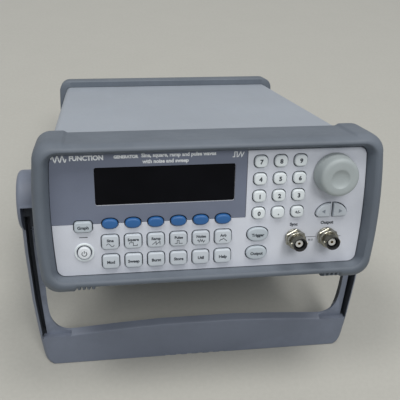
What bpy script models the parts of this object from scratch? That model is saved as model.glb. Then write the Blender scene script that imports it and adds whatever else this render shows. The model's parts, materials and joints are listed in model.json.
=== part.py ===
"""Bench function generator: a half-rack case with rubber bumpers and a swinging carry handle.

The instrument stands tilted on the bar of its handle and on the lower edge of its rear bumper.
Dimensions are in millimetres and are scaled to metres where vertices are made.  The case has its
own frame, with X to the right, Y to the back and Z up and the origin in the middle of the front
panel.  One empty tilts that frame, and everything is parented to it.
"""

import math

import bmesh
import bpy
from mathutils import Matrix, Vector

MM = 0.001
GAP = 0.3

# Stance
TILT_DEG = 20.9
HANDLE_SWING_DEG = 5.6
FLOOR_DROP = 150.87
CENTRE_SHIFT_Y = -134.043

# Sheet metal cover and what it holds
COVER_HALF_W = 106.4
COVER_HALF_H = 44.15
COVER_RADIUS = 5.0
COVER_WALL = 1.2
COVER_FRONT_Y = 6.0
COVER_REAR_Y = 289.0
TRAY_FRONT_Y = 16.0
TRAY_REAR_Y = 275.5
TRAY_WALL = 1.2
TRAY_SIDE_TOP = 18.0
REAR_PANEL_Y = 276.5
REAR_PANEL_THICK = 1.5

# Front panel
WINDOW_HALF_W = 105.9
WINDOW_TOP = 43.6
WINDOW_BOTTOM = -40.6
WINDOW_BULGE = 1.8
WINDOW_RADIUS = 5.5
BEZEL_THICK = 2.8
BEZEL_SKIRT_Y = 13.0
BEZEL_SKIRT_HALF_W = 103.4
OVERLAY_LEFT = -105.2
OVERLAY_RIGHT = 22.9
OVERLAY_BOTTOM = -3.4
OVERLAY_RECESS = 1.2
DISPLAY_CENTRE = (-30.8, 21.7)
DISPLAY_SIZE = (92.0, 25.8)
BOARD_Y = 6.2
BOARD_THICK = 1.6

# Keys
KEY_FRONT = -2.2
KEY_FLANGE_FRONT = 3.1
KEY_BACK = 4.3
KEY_FLANGE = 0.8
SOFT_KEY_SIZE = (10.0, 6.4)
SOFT_KEY_START = (-67.9, -3.5)
SOFT_KEY_PITCH = 15.1
FUNCTION_KEY_SIZE = (11.2, 9.8)
FUNCTION_KEY_START = (-68.2, -16.4)
FUNCTION_KEY_PITCH = (15.2, 14.1)
DIGIT_KEY_SIZE = (8.5, 7.6)
DIGIT_KEY_START = (31.8, 35.5)
DIGIT_KEY_PITCH = (13.4, 12.0)
GRAPH_KEY = (-85.4, -4.8)
GRAPH_KEY_SIZE = (11.6, 7.2)
POWER_KEY = (-85.5, -23.3)
POWER_KEY_RADIUS = 4.3
TRIGGER_KEY = (31.8, -15.8)
OUTPUT_KEY = (31.4, -29.5)
OVAL_KEY_SIZE = (14.3, 9.6)
LEFT_ARROW = (77.2, -0.4)
RIGHT_ARROW = (88.6, -0.4)

# Tuning knob
KNOB_AXIS = (82.3, 25.8)
KNOB_RADIUS = 14.2
KNOB_FRONT = -13.0
KNOB_STEM_RADIUS = 3.0
KNOB_DIMPLE_DROP = -0.9

# Coaxial connectors
SYNC_AXIS = (58.0, -19.6)
OUTPUT_AXIS = (80.9, -19.6)
MODULATION_AXIS = (88.0, 20.0)
REAR_TRIGGER_AXIS = (88.0, -4.0)
BNC_RADIUS = 4.8
BNC_LENGTH = 14.5
BNC_COLLAR_LENGTH = 8.0
BNC_INSULATOR_DEPTH = 3.2

# Bumpers
BUMPER_HALF_H = 51.9
FRONT_BUMPER_CREST_Y = -8.0
FRONT_BUMPER_REAR_Y = 33.5
FRONT_BUMPER_HALF_W = 117.2
REAR_BUMPER_FRONT_Y = 269.0
REAR_BUMPER_REAR_Y = 295.2
REAR_BUMPER_HALF_W = 114.0
REAR_BUMPER_TOP = 50.5
TOP_PAD = (95.0, 1.4)
FOOT_PAD = (82.0, 2.8)
REAR_FOOT_PAD = (79.0, 1.4)
PLAIN = (79.0, 0.0)

# Handle
PIVOT_Y = 44.0
HUB_RADIUS = 21.5
HUB_INNER_X = 107.2
HUB_OUTER_X = 130.5
ARM_INNER_X = 118.0
HANDLE_HALF_DEPTH = 9.0
HANDLE_FOOT_Z = -140.14
HANDLE_FOOT_SLOPE = math.tan(math.radians(TILT_DEG - HANDLE_SWING_DEG))
RELIEF_DEPTH = 115.5
RIB_FRONT_Y = -5.0
RELIEF_TOP = -17.0
SKIRT_THICK = 2.9
GROOVE_WIDTH = 4.0
GROOVE_TOP = -8.8
HUB_HOLLOW_X = 119.8
HUB_HOLLOW_Y = -8.8
HUB_HOLLOW_TOP = -1.0
ARM_DRAFT = 3.6
BAR_DRAFT = 11.5
PIVOT_BOSS_RADIUS = 15.2
PIVOT_PIN_RADIUS = 6.2

# Fan and power parts
FAN_AXIS = (-30.0, 2.0)
FAN_SIZE = 60.0
FAN_FRONT_Y = 254.5
FAN_REAR_Y = 275.5
FAN_TIP_RADIUS = 27.3
INLET_CENTRE = (-80.0, -16.0)
INLET_BODY_DEPTH = 20.0
INLET_RECESS_DEPTH = 17.0
INLET_BLADE_REACH = 10.0


def linear(red, green, blue):
    """Turn 8-bit display values into linear light."""
    values = []
    for level in (red, green, blue):
        share = level / 255.0
        if share <= 0.04045:
            values.append(share / 12.92)
        else:
            values.append(((share + 0.055) / 1.055) ** 2.4)
    return (values[0], values[1], values[2], 1.0)


SLATE = (linear(101, 108, 118), 0.62, 0.0)
COVER_GREY = (linear(158, 166, 176), 0.5, 0.1)
PANEL_GREY = (linear(192, 197, 208), 0.55, 0.0)
OVERLAY_GREY = (linear(100, 106, 120), 0.5, 0.0)
KEY_GREY = (linear(196, 204, 206), 0.6, 0.0)
KEY_BLUE = (linear(52, 100, 152), 0.5, 0.0)
KNOB_GREY = (linear(160, 167, 167), 0.55, 0.0)
DISPLAY_BLACK = (linear(14, 14, 18), 0.12, 0.0)
BOARD_GREEN = (linear(30, 92, 58), 0.5, 0.0)
STEEL = (linear(186, 188, 190), 0.35, 1.0)
NICKEL = (linear(150, 150, 138), 0.3, 1.0)
BLACK_PLASTIC = (linear(28, 29, 31), 0.5, 0.0)


def remove_everything():
    """Start from an empty scene."""
    for item in list(bpy.data.objects):
        bpy.data.objects.remove(item, do_unlink=True)


def make_empty(name, parent, location, pitch_deg):
    """Make a reference frame turned about X."""
    empty = bpy.data.objects.new(name, None)
    bpy.context.collection.objects.link(empty)
    empty.parent = parent
    empty.location = Vector(location) * MM
    empty.rotation_euler = (math.radians(pitch_deg), 0.0, 0.0)
    empty.empty_display_size = 0.02
    return empty


def make_material(name, finish):
    """Make the piece's own Principled material."""
    colour, roughness, metallic = finish
    material = bpy.data.materials.new(name)
    material.use_nodes = True
    shader = material.node_tree.nodes["Principled BSDF"]
    shader.inputs["Base Color"].default_value = colour
    shader.inputs["Roughness"].default_value = roughness
    shader.inputs["Metallic"].default_value = metallic
    material.diffuse_color = colour
    return material


def make_object(name, bm, finish, parent, location=(0.0, 0.0, 0.0), smooth=False):
    """Turn a finished bmesh into a parented object."""
    bmesh.ops.recalc_face_normals(bm, faces=bm.faces)
    for face in bm.faces:
        face.smooth = smooth
    mesh = bpy.data.meshes.new(name)
    bm.to_mesh(mesh)
    bm.free()
    item = bpy.data.objects.new(name, mesh)
    bpy.context.collection.objects.link(item)
    item.parent = parent
    item.location = Vector(location) * MM
    if finish is not None:
        mesh.materials.append(make_material(name, finish))
    return item


def combine(target, bm, operation, location=(0.0, 0.0, 0.0)):
    """Cut a shape from the target, or weld one to it, with an exact boolean."""
    tool_name = "{}_{}_tool".format(target.name, operation.lower())
    tool = make_object(tool_name, bm, None, target.parent, location)
    tool.hide_render = True
    tool.display_type = "WIRE"
    modifier = target.modifiers.new(operation.title(), "BOOLEAN")
    modifier.operation = operation
    modifier.solver = "EXACT"
    modifier.object = tool
    return tool


def soften_edges(item, width, segments=1, angle_deg=40.0):
    """Round the sharp edges."""
    modifier = item.modifiers.new("Bevel", "BEVEL")
    modifier.width = width * MM
    modifier.segments = segments
    modifier.limit_method = "ANGLE"
    modifier.angle_limit = math.radians(angle_deg)


def arc(centre, radius, start_deg, end_deg, steps):
    """Points along a circular arc, both ends included."""
    points = []
    for index in range(steps + 1):
        angle = math.radians(start_deg + (end_deg - start_deg) * index / steps)
        points.append((centre[0] + radius * math.cos(angle), centre[1] + radius * math.sin(angle)))
    return points


def circle(radius, count, centre=(0.0, 0.0)):
    """A closed ring of points, turned half a step so that flats face the axes."""
    points = []
    for index in range(count):
        angle = 2.0 * math.pi * (index + 0.5) / count
        points.append((centre[0] + radius * math.cos(angle), centre[1] + radius * math.sin(angle)))
    return points


def rounded_box(width, height, radius, steps=2, centre=(0.0, 0.0)):
    """Outline of a rectangle with round corners, anticlockwise from the upper right."""
    reach_x = width / 2.0 - radius
    reach_y = height / 2.0 - radius
    points = []
    for side_x, side_y, start in ((1, 1, 0), (-1, 1, 90), (-1, -1, 180), (1, -1, 270)):
        corner = (centre[0] + side_x * reach_x, centre[1] + side_y * reach_y)
        points.extend(arc(corner, radius, start, start + 90, steps))
    return points


def at_depth(outline, y):
    """Lay an outline in the panel plane at a depth."""
    return [Vector((x * MM, y * MM, z * MM)) for x, z in outline]


def loft(bm, rings, ends="CAP"):
    """Skin a row of rings that have the same number of points."""
    loops = []
    for ring in rings:
        loops.append([bm.verts.new(point) for point in ring])
    pairs = list(zip(loops, loops[1:]))
    if ends == "JOIN":
        pairs.append((loops[-1], loops[0]))
    count = len(loops[0])
    for first, second in pairs:
        for index in range(count):
            after = (index + 1) % count
            bm.faces.new((first[index], first[after], second[after], second[index]))
    if ends == "CAP":
        bm.faces.new(loops[0])
        bm.faces.new(list(reversed(loops[-1])))


def prism(bm, outline, y_from, y_to):
    """Extrude an outline along Y."""
    loft(bm, [at_depth(outline, y_from), at_depth(outline, y_to)])


def block(bm, low, high):
    """A plain box between two corners."""
    size = [high[axis] - low[axis] for axis in range(3)]
    middle = [(high[axis] + low[axis]) / 2.0 for axis in range(3)]
    place = Matrix.Translation(Vector(middle) * MM)
    scale = Matrix.Diagonal((size[0] * MM, size[1] * MM, size[2] * MM, 1.0))
    bmesh.ops.create_cube(bm, size=1.0, matrix=place @ scale)


def turned(bm, profile, axis, count):
    """Revolve (distance along the axis, radius) pairs; both ends lie on the axis."""
    rings = []
    for along, radius in profile[1:-1]:
        ring = []
        for u, v in circle(radius, count):
            if axis == "X":
                ring.append(Vector((along * MM, u * MM, v * MM)))
            else:
                ring.append(Vector((u * MM, along * MM, v * MM)))
        rings.append(ring)
    loft(bm, rings)


def mirrored(points):
    """Mirror an outline left to right and keep its winding."""
    return [(-x, z) for x, z in reversed(points)]


def quarter_outline(half_w, half_h, bulge, radius, pad):
    """Upper right quarter of a frame outline about its centre, with a pad at the corner."""
    pad_edge, pad_drop = pad

    def edge_x(z):
        share = z / half_h
        return half_w - bulge * share * share

    points = [(edge_x(0.0), 0.0), (edge_x(0.45 * half_h), 0.45 * half_h)]
    corner = (edge_x(half_h - radius) - radius, half_h - radius)
    points.extend(arc(corner, radius, 0, 90, 4))
    points.append((pad_edge + 1.0, half_h))
    points.append((pad_edge - 1.5, half_h - pad_drop))
    return points


def frame_outline(half_w, top, bottom, bulge, radius, top_pad=PLAIN, foot_pad=PLAIN):
    """Outline of a bumper or cover: bowed sides, round corners, and pads at the corners."""
    centre_z = (top + bottom) / 2.0
    half_h = (top - bottom) / 2.0
    upper = quarter_outline(half_w, half_h, bulge, radius, top_pad)
    lower = quarter_outline(half_w, half_h, bulge, radius, foot_pad)
    upper_right = shifted(upper, (0.0, centre_z))
    lower_right = [(x, centre_z - z) for x, z in reversed(lower)][:-1]
    return upper_right + mirrored(upper_right) + mirrored(lower_right)[1:] + lower_right


def window_outline(inset):
    """Edge of the front panel, drawn in by the inset."""
    return frame_outline(
        WINDOW_HALF_W - inset,
        WINDOW_TOP - inset,
        WINDOW_BOTTOM + inset,
        WINDOW_BULGE,
        WINDOW_RADIUS,
    )


def cover_outline(grow):
    """Section of the cover, grown outwards."""
    return frame_outline(
        COVER_HALF_W + grow,
        COVER_HALF_H + grow,
        -COVER_HALF_H - grow,
        0.0,
        COVER_RADIUS + grow,
    )


def key_outline(name):
    """Outline of a key about its own centre."""
    if name in ("trigger_key", "output_key"):
        return rounded_box(OVAL_KEY_SIZE[0], OVAL_KEY_SIZE[1], 4.6, 3)
    if name == "power_key":
        return circle(POWER_KEY_RADIUS, 20)
    if name == "graph_key":
        return rounded_box(GRAPH_KEY_SIZE[0], GRAPH_KEY_SIZE[1], 2.2)
    if name == "left_arrow_key":
        return arrow_outline()
    if name == "right_arrow_key":
        return mirrored(arrow_outline())
    if name.startswith("soft_key"):
        return rounded_box(SOFT_KEY_SIZE[0], SOFT_KEY_SIZE[1], 2.8)
    if name in FUNCTION_KEY_NAMES:
        return rounded_box(FUNCTION_KEY_SIZE[0], FUNCTION_KEY_SIZE[1], 2.2)
    return rounded_box(DIGIT_KEY_SIZE[0], DIGIT_KEY_SIZE[1], 2.9)


def arrow_outline():
    """Half-moon of the left arrow key: upright right edge, arched top."""
    points = [(4.6, -4.6), (4.6, 4.9)]
    points.extend(arc((4.2, -5.3), 10.2, 100, 150, 4))
    points.extend(arc((-2.8, -2.2), 2.4, 180, 265, 2))
    return points


def grown(outline, distance):
    """Offset a convex outline outwards by a distance."""
    count = len(outline)
    area = 0.0
    for index in range(count):
        x0, z0 = outline[index]
        x1, z1 = outline[(index + 1) % count]
        area += x0 * z1 - x1 * z0
    turn = 1.0 if area > 0.0 else -1.0
    result = []
    for index in range(count):
        before = Vector(outline[index - 1])
        here = Vector(outline[index])
        after = Vector(outline[(index + 1) % count])
        first = (here - before).normalized()
        second = (after - here).normalized()
        normal_a = Vector((first.y, -first.x)) * turn
        normal_b = Vector((second.y, -second.x)) * turn
        middle = (normal_a + normal_b).normalized()
        stretch = distance / max(middle.dot(normal_a), 0.5)
        point = here + middle * stretch
        result.append((point.x, point.y))
    return result


def shifted(outline, offset):
    """Move an outline."""
    return [(x + offset[0], z + offset[1]) for x, z in outline]


FUNCTION_KEY_NAMES = (
    "sine_key",
    "square_key",
    "ramp_key",
    "pulse_key",
    "noise_key",
    "arbitrary_key",
    "modulation_key",
    "sweep_key",
    "burst_key",
    "store_key",
    "utility_key",
    "help_key",
)
DIGIT_KEY_ROWS = (
    ("key_7", "key_8", "key_9"),
    ("key_4", "key_5", "key_6"),
    ("key_1", "key_2", "key_3"),
    ("key_0", "point_key", "sign_key"),
)


def key_places():
    """Name and centre of every key on the panel."""
    places = []
    for index in range(6):
        centre = (SOFT_KEY_START[0] + SOFT_KEY_PITCH * index, SOFT_KEY_START[1])
        places.append(("soft_key_{}".format(index + 1), centre))
    for index, name in enumerate(FUNCTION_KEY_NAMES):
        column = index % 6
        row = index // 6
        x = FUNCTION_KEY_START[0] + FUNCTION_KEY_PITCH[0] * column
        z = FUNCTION_KEY_START[1] - FUNCTION_KEY_PITCH[1] * row
        places.append((name, (x, z)))
    for row, names in enumerate(DIGIT_KEY_ROWS):
        for column, name in enumerate(names):
            x = DIGIT_KEY_START[0] + DIGIT_KEY_PITCH[0] * column
            z = DIGIT_KEY_START[1] - DIGIT_KEY_PITCH[1] * row
            places.append((name, (x, z)))
    places.append(("graph_key", GRAPH_KEY))
    places.append(("power_key", POWER_KEY))
    places.append(("left_arrow_key", LEFT_ARROW))
    places.append(("right_arrow_key", RIGHT_ARROW))
    places.append(("trigger_key", TRIGGER_KEY))
    places.append(("output_key", OUTPUT_KEY))
    return places


def make_key(name, centre, parent):
    """One key: a cap that stands through the panel and a flange behind it."""
    cap = key_outline(name)
    flange = grown(cap, KEY_FLANGE)
    rings = [
        at_depth(flange, KEY_BACK),
        at_depth(flange, KEY_FLANGE_FRONT),
        at_depth(cap, KEY_FLANGE_FRONT),
        at_depth(cap, KEY_FRONT + 0.6),
        at_depth(grown(cap, -0.6), KEY_FRONT),
    ]
    bm = bmesh.new()
    loft(bm, rings)
    finish = KEY_BLUE if name.startswith("soft_key") else KEY_GREY
    return make_object(name, bm, finish, parent, (centre[0], 0.0, centre[1]))


def make_bezel(parent):
    """Moulded front panel with its skirt, key holes and display opening."""
    skirt_top = WINDOW_TOP - 2.1
    skirt_bottom = WINDOW_BOTTOM + 0.8
    skirt_outer = frame_outline(BEZEL_SKIRT_HALF_W, skirt_top, skirt_bottom, 0.0, 5.0)
    skirt_inner = frame_outline(
        BEZEL_SKIRT_HALF_W - 1.0,
        skirt_top - 1.0,
        skirt_bottom + 1.0,
        0.0,
        4.0,
    )
    step_y = COVER_FRONT_Y - 2.0 * GAP
    rings = [
        at_depth(window_outline(GAP), 0.0),
        at_depth(window_outline(GAP), step_y),
        at_depth(skirt_outer, step_y),
        at_depth(skirt_outer, BEZEL_SKIRT_Y),
        at_depth(skirt_inner, BEZEL_SKIRT_Y),
        at_depth(skirt_inner, BEZEL_THICK),
    ]
    bm = bmesh.new()
    loft(bm, rings)
    bezel = make_object("front_bezel", bm, PANEL_GREY, parent)
    recess = bmesh.new()
    block(
        recess,
        (-WINDOW_HALF_W - 10.0, -1.0, OVERLAY_BOTTOM - GAP),
        (OVERLAY_RIGHT + GAP, OVERLAY_RECESS, WINDOW_TOP + 10.0),
    )
    combine(bezel, recess, "DIFFERENCE")
    holes = bmesh.new()
    for name, centre in key_places():
        outline = shifted(grown(key_outline(name), GAP), centre)
        prism(holes, outline, -2.0, BEZEL_THICK + 2.0)
    prism(holes, rounded_box(DISPLAY_SIZE[0], DISPLAY_SIZE[1], 1.5, 2, DISPLAY_CENTRE), -2.0, 5.0)
    prism(holes, circle(KNOB_STEM_RADIUS + GAP, 16, KNOB_AXIS), -2.0, 5.0)
    for centre in (SYNC_AXIS, OUTPUT_AXIS):
        prism(holes, circle(BNC_RADIUS + 0.1, 16, centre), -2.0, 5.0)
    combine(bezel, holes, "DIFFERENCE").name = "front_bezel_holes_tool"
    return bezel


def make_overlay(parent):
    """Dark overlay around the display, let into the front panel."""
    bm = bmesh.new()
    prism(bm, window_outline(GAP), 0.4, 0.9)
    overlay = make_object("display_overlay", bm, OVERLAY_GREY, parent)
    region = bmesh.new()
    block(
        region,
        (-WINDOW_HALF_W - 10.0, -1.0, OVERLAY_BOTTOM),
        (OVERLAY_RIGHT, 2.0, WINDOW_TOP + 10.0),
    )
    combine(overlay, region, "INTERSECT")
    holes = bmesh.new()
    for name, centre in key_places():
        if name.startswith("soft_key") or name == "graph_key":
            outline = shifted(grown(key_outline(name), GAP), centre)
            prism(holes, outline, -1.0, 2.0)
    prism(holes, rounded_box(DISPLAY_SIZE[0], DISPLAY_SIZE[1], 1.5, 2, DISPLAY_CENTRE), -1.0, 2.0)
    combine(overlay, holes, "DIFFERENCE")
    return overlay


def make_display(parent):
    """Window and the display module behind it."""
    bm = bmesh.new()
    width = DISPLAY_SIZE[0] - 2.0 * GAP
    height = DISPLAY_SIZE[1] - 2.0 * GAP
    prism(bm, rounded_box(width, height, 1.2, 2, DISPLAY_CENTRE), 1.7, 3.2)
    make_object("display_window", bm, DISPLAY_BLACK, parent)
    bm = bmesh.new()
    half_w = DISPLAY_SIZE[0] / 2.0 + 3.0
    half_h = DISPLAY_SIZE[1] / 2.0 + 2.5
    block(
        bm,
        (DISPLAY_CENTRE[0] - half_w, 3.5, DISPLAY_CENTRE[1] - half_h),
        (DISPLAY_CENTRE[0] + half_w, 10.5, DISPLAY_CENTRE[1] + half_h),
    )
    make_object("display_module", bm, BLACK_PLASTIC, parent)
    return half_w, half_h


def make_keypad_board(parent, display_half):
    """Circuit board behind the keys, with cut-outs for what passes through it."""
    bm = bmesh.new()
    prism(bm, rounded_box(200.0, 76.0, 3.0, 2, (0.0, 0.85)), BOARD_Y, BOARD_Y + BOARD_THICK)
    board = make_object("keypad_board", bm, BOARD_GREEN, parent)
    holes = bmesh.new()
    outline = rounded_box(
        2.0 * (display_half[0] + 0.5),
        2.0 * (display_half[1] + 0.5),
        0.8,
        1,
        DISPLAY_CENTRE,
    )
    prism(holes, outline, BOARD_Y - 1.0, BOARD_Y + 3.0)
    prism(holes, circle(KNOB_STEM_RADIUS + 0.6, 16, KNOB_AXIS), BOARD_Y - 1.0, BOARD_Y + 3.0)
    for centre in (SYNC_AXIS, OUTPUT_AXIS):
        prism(holes, circle(BNC_RADIUS + 0.6, 16, centre), BOARD_Y - 1.0, BOARD_Y + 3.0)
    combine(board, holes, "DIFFERENCE")
    return board


def make_knob(parent):
    """Tuning knob with a finger dimple, and the encoder that its stem turns in."""
    profile = (
        (KNOB_FRONT + 1.2, 2.0, 1.0),
        (KNOB_FRONT + 0.8, 4.2, 1.0),
        (KNOB_FRONT + 0.2, 5.6, 1.0),
        (KNOB_FRONT, 6.3, 0.8),
        (KNOB_FRONT, KNOB_RADIUS - 3.6, 0.0),
        (KNOB_FRONT + 0.5, KNOB_RADIUS - 2.3, 0.0),
        (KNOB_FRONT + 1.8, KNOB_RADIUS - 1.3, 0.0),
        (-1.8, KNOB_RADIUS - 0.3, 0.0),
        (-0.6, KNOB_RADIUS, 0.0),
        (-0.6, KNOB_STEM_RADIUS, 0.0),
        (11.5, KNOB_STEM_RADIUS, 0.0),
    )
    rings = []
    for y, radius, share in profile:
        rings.append(at_depth(circle(radius, 28, (0.0, KNOB_DIMPLE_DROP * share)), y))
    bm = bmesh.new()
    loft(bm, rings)
    centre = (KNOB_AXIS[0], 0.0, KNOB_AXIS[1])
    make_object("tuning_knob", bm, KNOB_GREY, parent, centre, smooth=True)
    bm = bmesh.new()
    back = BOARD_Y + BOARD_THICK + GAP
    prism(bm, rounded_box(13.0, 13.0, 1.0, 1), back, back + 6.5)
    encoder = make_object("rotary_encoder", bm, BLACK_PLASTIC, parent, centre)
    hole = bmesh.new()
    prism(hole, circle(KNOB_STEM_RADIUS + GAP, 16), back - 1.0, 11.5 + GAP)
    combine(encoder, hole, "DIFFERENCE", centre)


def make_bnc(name, axis, face_y, facing, parent):
    """Panel coaxial connector: shell, collar, insulator and threaded shank."""
    rim = BNC_LENGTH
    tip = BNC_LENGTH - BNC_INSULATOR_DEPTH
    profile = (
        (6.0, 0.0),
        (6.0, 0.9),
        (tip, 0.9),
        (tip, 2.6),
        (4.0, 2.6),
        (4.0, BNC_RADIUS - 0.7),
        (rim, BNC_RADIUS - 0.7),
        (rim, BNC_RADIUS),
        (BNC_COLLAR_LENGTH, BNC_RADIUS),
        (BNC_COLLAR_LENGTH, 6.3),
        (GAP, 6.3),
        (GAP, BNC_RADIUS - 0.2),
        (-9.5, BNC_RADIUS - 0.2),
        (-9.5, 0.0),
    )
    bm = bmesh.new()
    turned(bm, [(along * facing, radius) for along, radius in profile], "Y", 16)
    return make_object(name, bm, NICKEL, parent, (axis[0], face_y, axis[1]), smooth=True)


def make_case(parent):
    """Cover, tray and rear panel."""
    rings = [
        at_depth(cover_outline(0.0), COVER_FRONT_Y),
        at_depth(cover_outline(0.0), COVER_REAR_Y),
        at_depth(cover_outline(-COVER_WALL), COVER_REAR_Y),
        at_depth(cover_outline(-COVER_WALL), COVER_FRONT_Y),
    ]
    bm = bmesh.new()
    loft(bm, rings, "JOIN")
    make_object("cover_sleeve", bm, COVER_GREY, parent)
    side = COVER_HALF_W - COVER_WALL - GAP
    floor = COVER_HALF_H - COVER_WALL - GAP
    half = [
        (side, TRAY_SIDE_TOP),
        (side, -floor + 3.6),
        (side - 3.4, -floor),
        (-side + 3.4, -floor),
        (-side, -floor + 3.6),
        (-side, TRAY_SIDE_TOP),
        (-side + TRAY_WALL, TRAY_SIDE_TOP),
        (-side + TRAY_WALL, -floor + 4.1),
        (-side + 3.9, -floor + TRAY_WALL),
        (side - 3.9, -floor + TRAY_WALL),
        (side - TRAY_WALL, -floor + 4.1),
        (side - TRAY_WALL, TRAY_SIDE_TOP),
    ]
    bm = bmesh.new()
    prism(bm, half, TRAY_FRONT_Y, TRAY_REAR_Y)
    make_object("chassis_tray", bm, STEEL, parent)


def make_rear_panel(parent):
    """Rear panel with the fan grille and the holes for its connectors."""
    bm = bmesh.new()
    outline = rounded_box(
        2.0 * (COVER_HALF_W - COVER_WALL - GAP),
        2.0 * (COVER_HALF_H - COVER_WALL - GAP),
        3.6,
    )
    outer_y = REAR_PANEL_Y + REAR_PANEL_THICK
    prism(bm, outline, REAR_PANEL_Y, outer_y)
    panel = make_object("rear_panel", bm, STEEL, parent)
    holes = bmesh.new()
    for step in range(-4, 5):
        rise = step * 6.0
        chord = 2.0 * math.sqrt(27.0 * 27.0 - rise * rise)
        centre = (FAN_AXIS[0], FAN_AXIS[1] + rise)
        prism(holes, rounded_box(chord, 3.6, 1.7, 2, centre), REAR_PANEL_Y - 2.0, outer_y + 2.0)
    prism(holes, rounded_box(27.6, 20.6, 2.0, 2, INLET_CENTRE), REAR_PANEL_Y - 2.0, outer_y + 2.0)
    for centre in (MODULATION_AXIS, REAR_TRIGGER_AXIS):
        prism(holes, circle(BNC_RADIUS + 0.1, 16, centre), REAR_PANEL_Y - 2.0, outer_y + 2.0)
    combine(panel, holes, "DIFFERENCE")


def make_inlet(parent):
    """Mains inlet with its recess and three blades."""
    face = REAR_PANEL_Y + REAR_PANEL_THICK + GAP
    bm = bmesh.new()
    flange = rounded_box(32.0, 26.0, 3.0)
    body = rounded_box(27.0, 20.0, 1.8)
    rings = [
        at_depth(flange, face + 2.0),
        at_depth(flange, face),
        at_depth(body, face),
        at_depth(body, face - INLET_BODY_DEPTH),
    ]
    loft(bm, rings)
    centre = (INLET_CENTRE[0], 0.0, INLET_CENTRE[1])
    inlet = make_object("power_inlet", bm, BLACK_PLASTIC, parent, centre)
    recess = bmesh.new()
    floor = face - INLET_RECESS_DEPTH
    prism(recess, rounded_box(23.0, 16.0, 3.0), floor, face + 3.0)
    combine(inlet, recess, "DIFFERENCE", centre)
    blades = bmesh.new()
    for x, z in ((-7.0, -1.5), (0.0, 2.5), (7.0, -1.5)):
        block(blades, (x - 1.0, floor - 1.0, z - 2.0), (x + 1.0, floor + INLET_BLADE_REACH, z + 2.0))
    combine(inlet, blades, "UNION", centre)


def make_fan(parent):
    """Fan frame with its motor mount, and the rotor."""
    centre = (FAN_AXIS[0], 0.0, FAN_AXIS[1])
    bm = bmesh.new()
    prism(bm, rounded_box(FAN_SIZE, FAN_SIZE, 4.0), FAN_FRONT_Y, FAN_REAR_Y)
    frame = make_object("fan_frame", bm, BLACK_PLASTIC, parent, centre)
    bore = bmesh.new()
    prism(bore, circle(FAN_TIP_RADIUS + 1.2, 32), FAN_FRONT_Y - 2.0, FAN_REAR_Y + 2.0)
    combine(frame, bore, "DIFFERENCE", centre)
    mount = bmesh.new()
    prism(mount, circle(13.0, 20), FAN_FRONT_Y + 0.2, FAN_FRONT_Y + 2.6)
    mount_tool = combine(frame, mount, "UNION", centre)
    mount_tool.name = "fan_mount_tool"
    struts = bmesh.new()
    block(struts, (-29.2, FAN_FRONT_Y + 0.4, -1.5), (29.2, FAN_FRONT_Y + 2.4, 1.5))
    combine(frame, struts, "UNION", centre)
    cross = bmesh.new()
    block(cross, (-1.5, FAN_FRONT_Y + 0.5, -29.2), (1.5, FAN_FRONT_Y + 2.3, 29.2))
    combine(frame, cross, "UNION", centre)
    bm = bmesh.new()
    prism(bm, circle(12.5, 28), FAN_FRONT_Y + 3.2, FAN_REAR_Y - 2.0)
    rotor = make_object("fan_rotor", bm, BLACK_PLASTIC, parent, centre)
    blades = bmesh.new()
    for index in range(7):
        blade = bmesh.new()
        block(blade, (10.0, -0.6, -7.5), (FAN_TIP_RADIUS - 1.4, 0.6, 7.5))
        pitch = Matrix.Rotation(math.radians(38.0), 4, "X")
        spin = Matrix.Rotation(2.0 * math.pi * index / 7.0, 4, "Y")
        lift = Matrix.Translation(Vector((0.0, FAN_REAR_Y - 9.4, 0.0)) * MM)
        bmesh.ops.transform(blade, matrix=lift @ spin @ pitch, verts=blade.verts)
        part = bpy.data.meshes.new("blade")
        blade.to_mesh(part)
        blade.free()
        blades.from_mesh(part)
        bpy.data.meshes.remove(part)
    combine(rotor, blades, "UNION", centre)


def make_electronics(parent):
    """Main board with its larger components, and the power supply box."""
    bm = bmesh.new()
    block(bm, (2.0, 24.0, -34.0), (101.0, 248.0, -32.4))
    board = make_object("main_board", bm, BOARD_GREEN, parent)
    components = bmesh.new()
    block(components, (12.0, 60.0, -33.0), (48.0, 104.0, -14.0))
    block(components, (60.0, 70.0, -33.0), (92.0, 102.0, -28.0))
    block(components, (20.0, 150.0, -33.0), (52.0, 182.0, -29.0))
    block(components, (66.0, 160.0, -33.0), (94.0, 214.0, -18.0))
    combine(board, components, "UNION")
    bm = bmesh.new()
    block(bm, (-100.0, 120.0, -39.0), (-8.0, 244.0, 26.0))
    supply = make_object("power_supply", bm, STEEL, parent)
    soften_edges(supply, 1.5)


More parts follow.
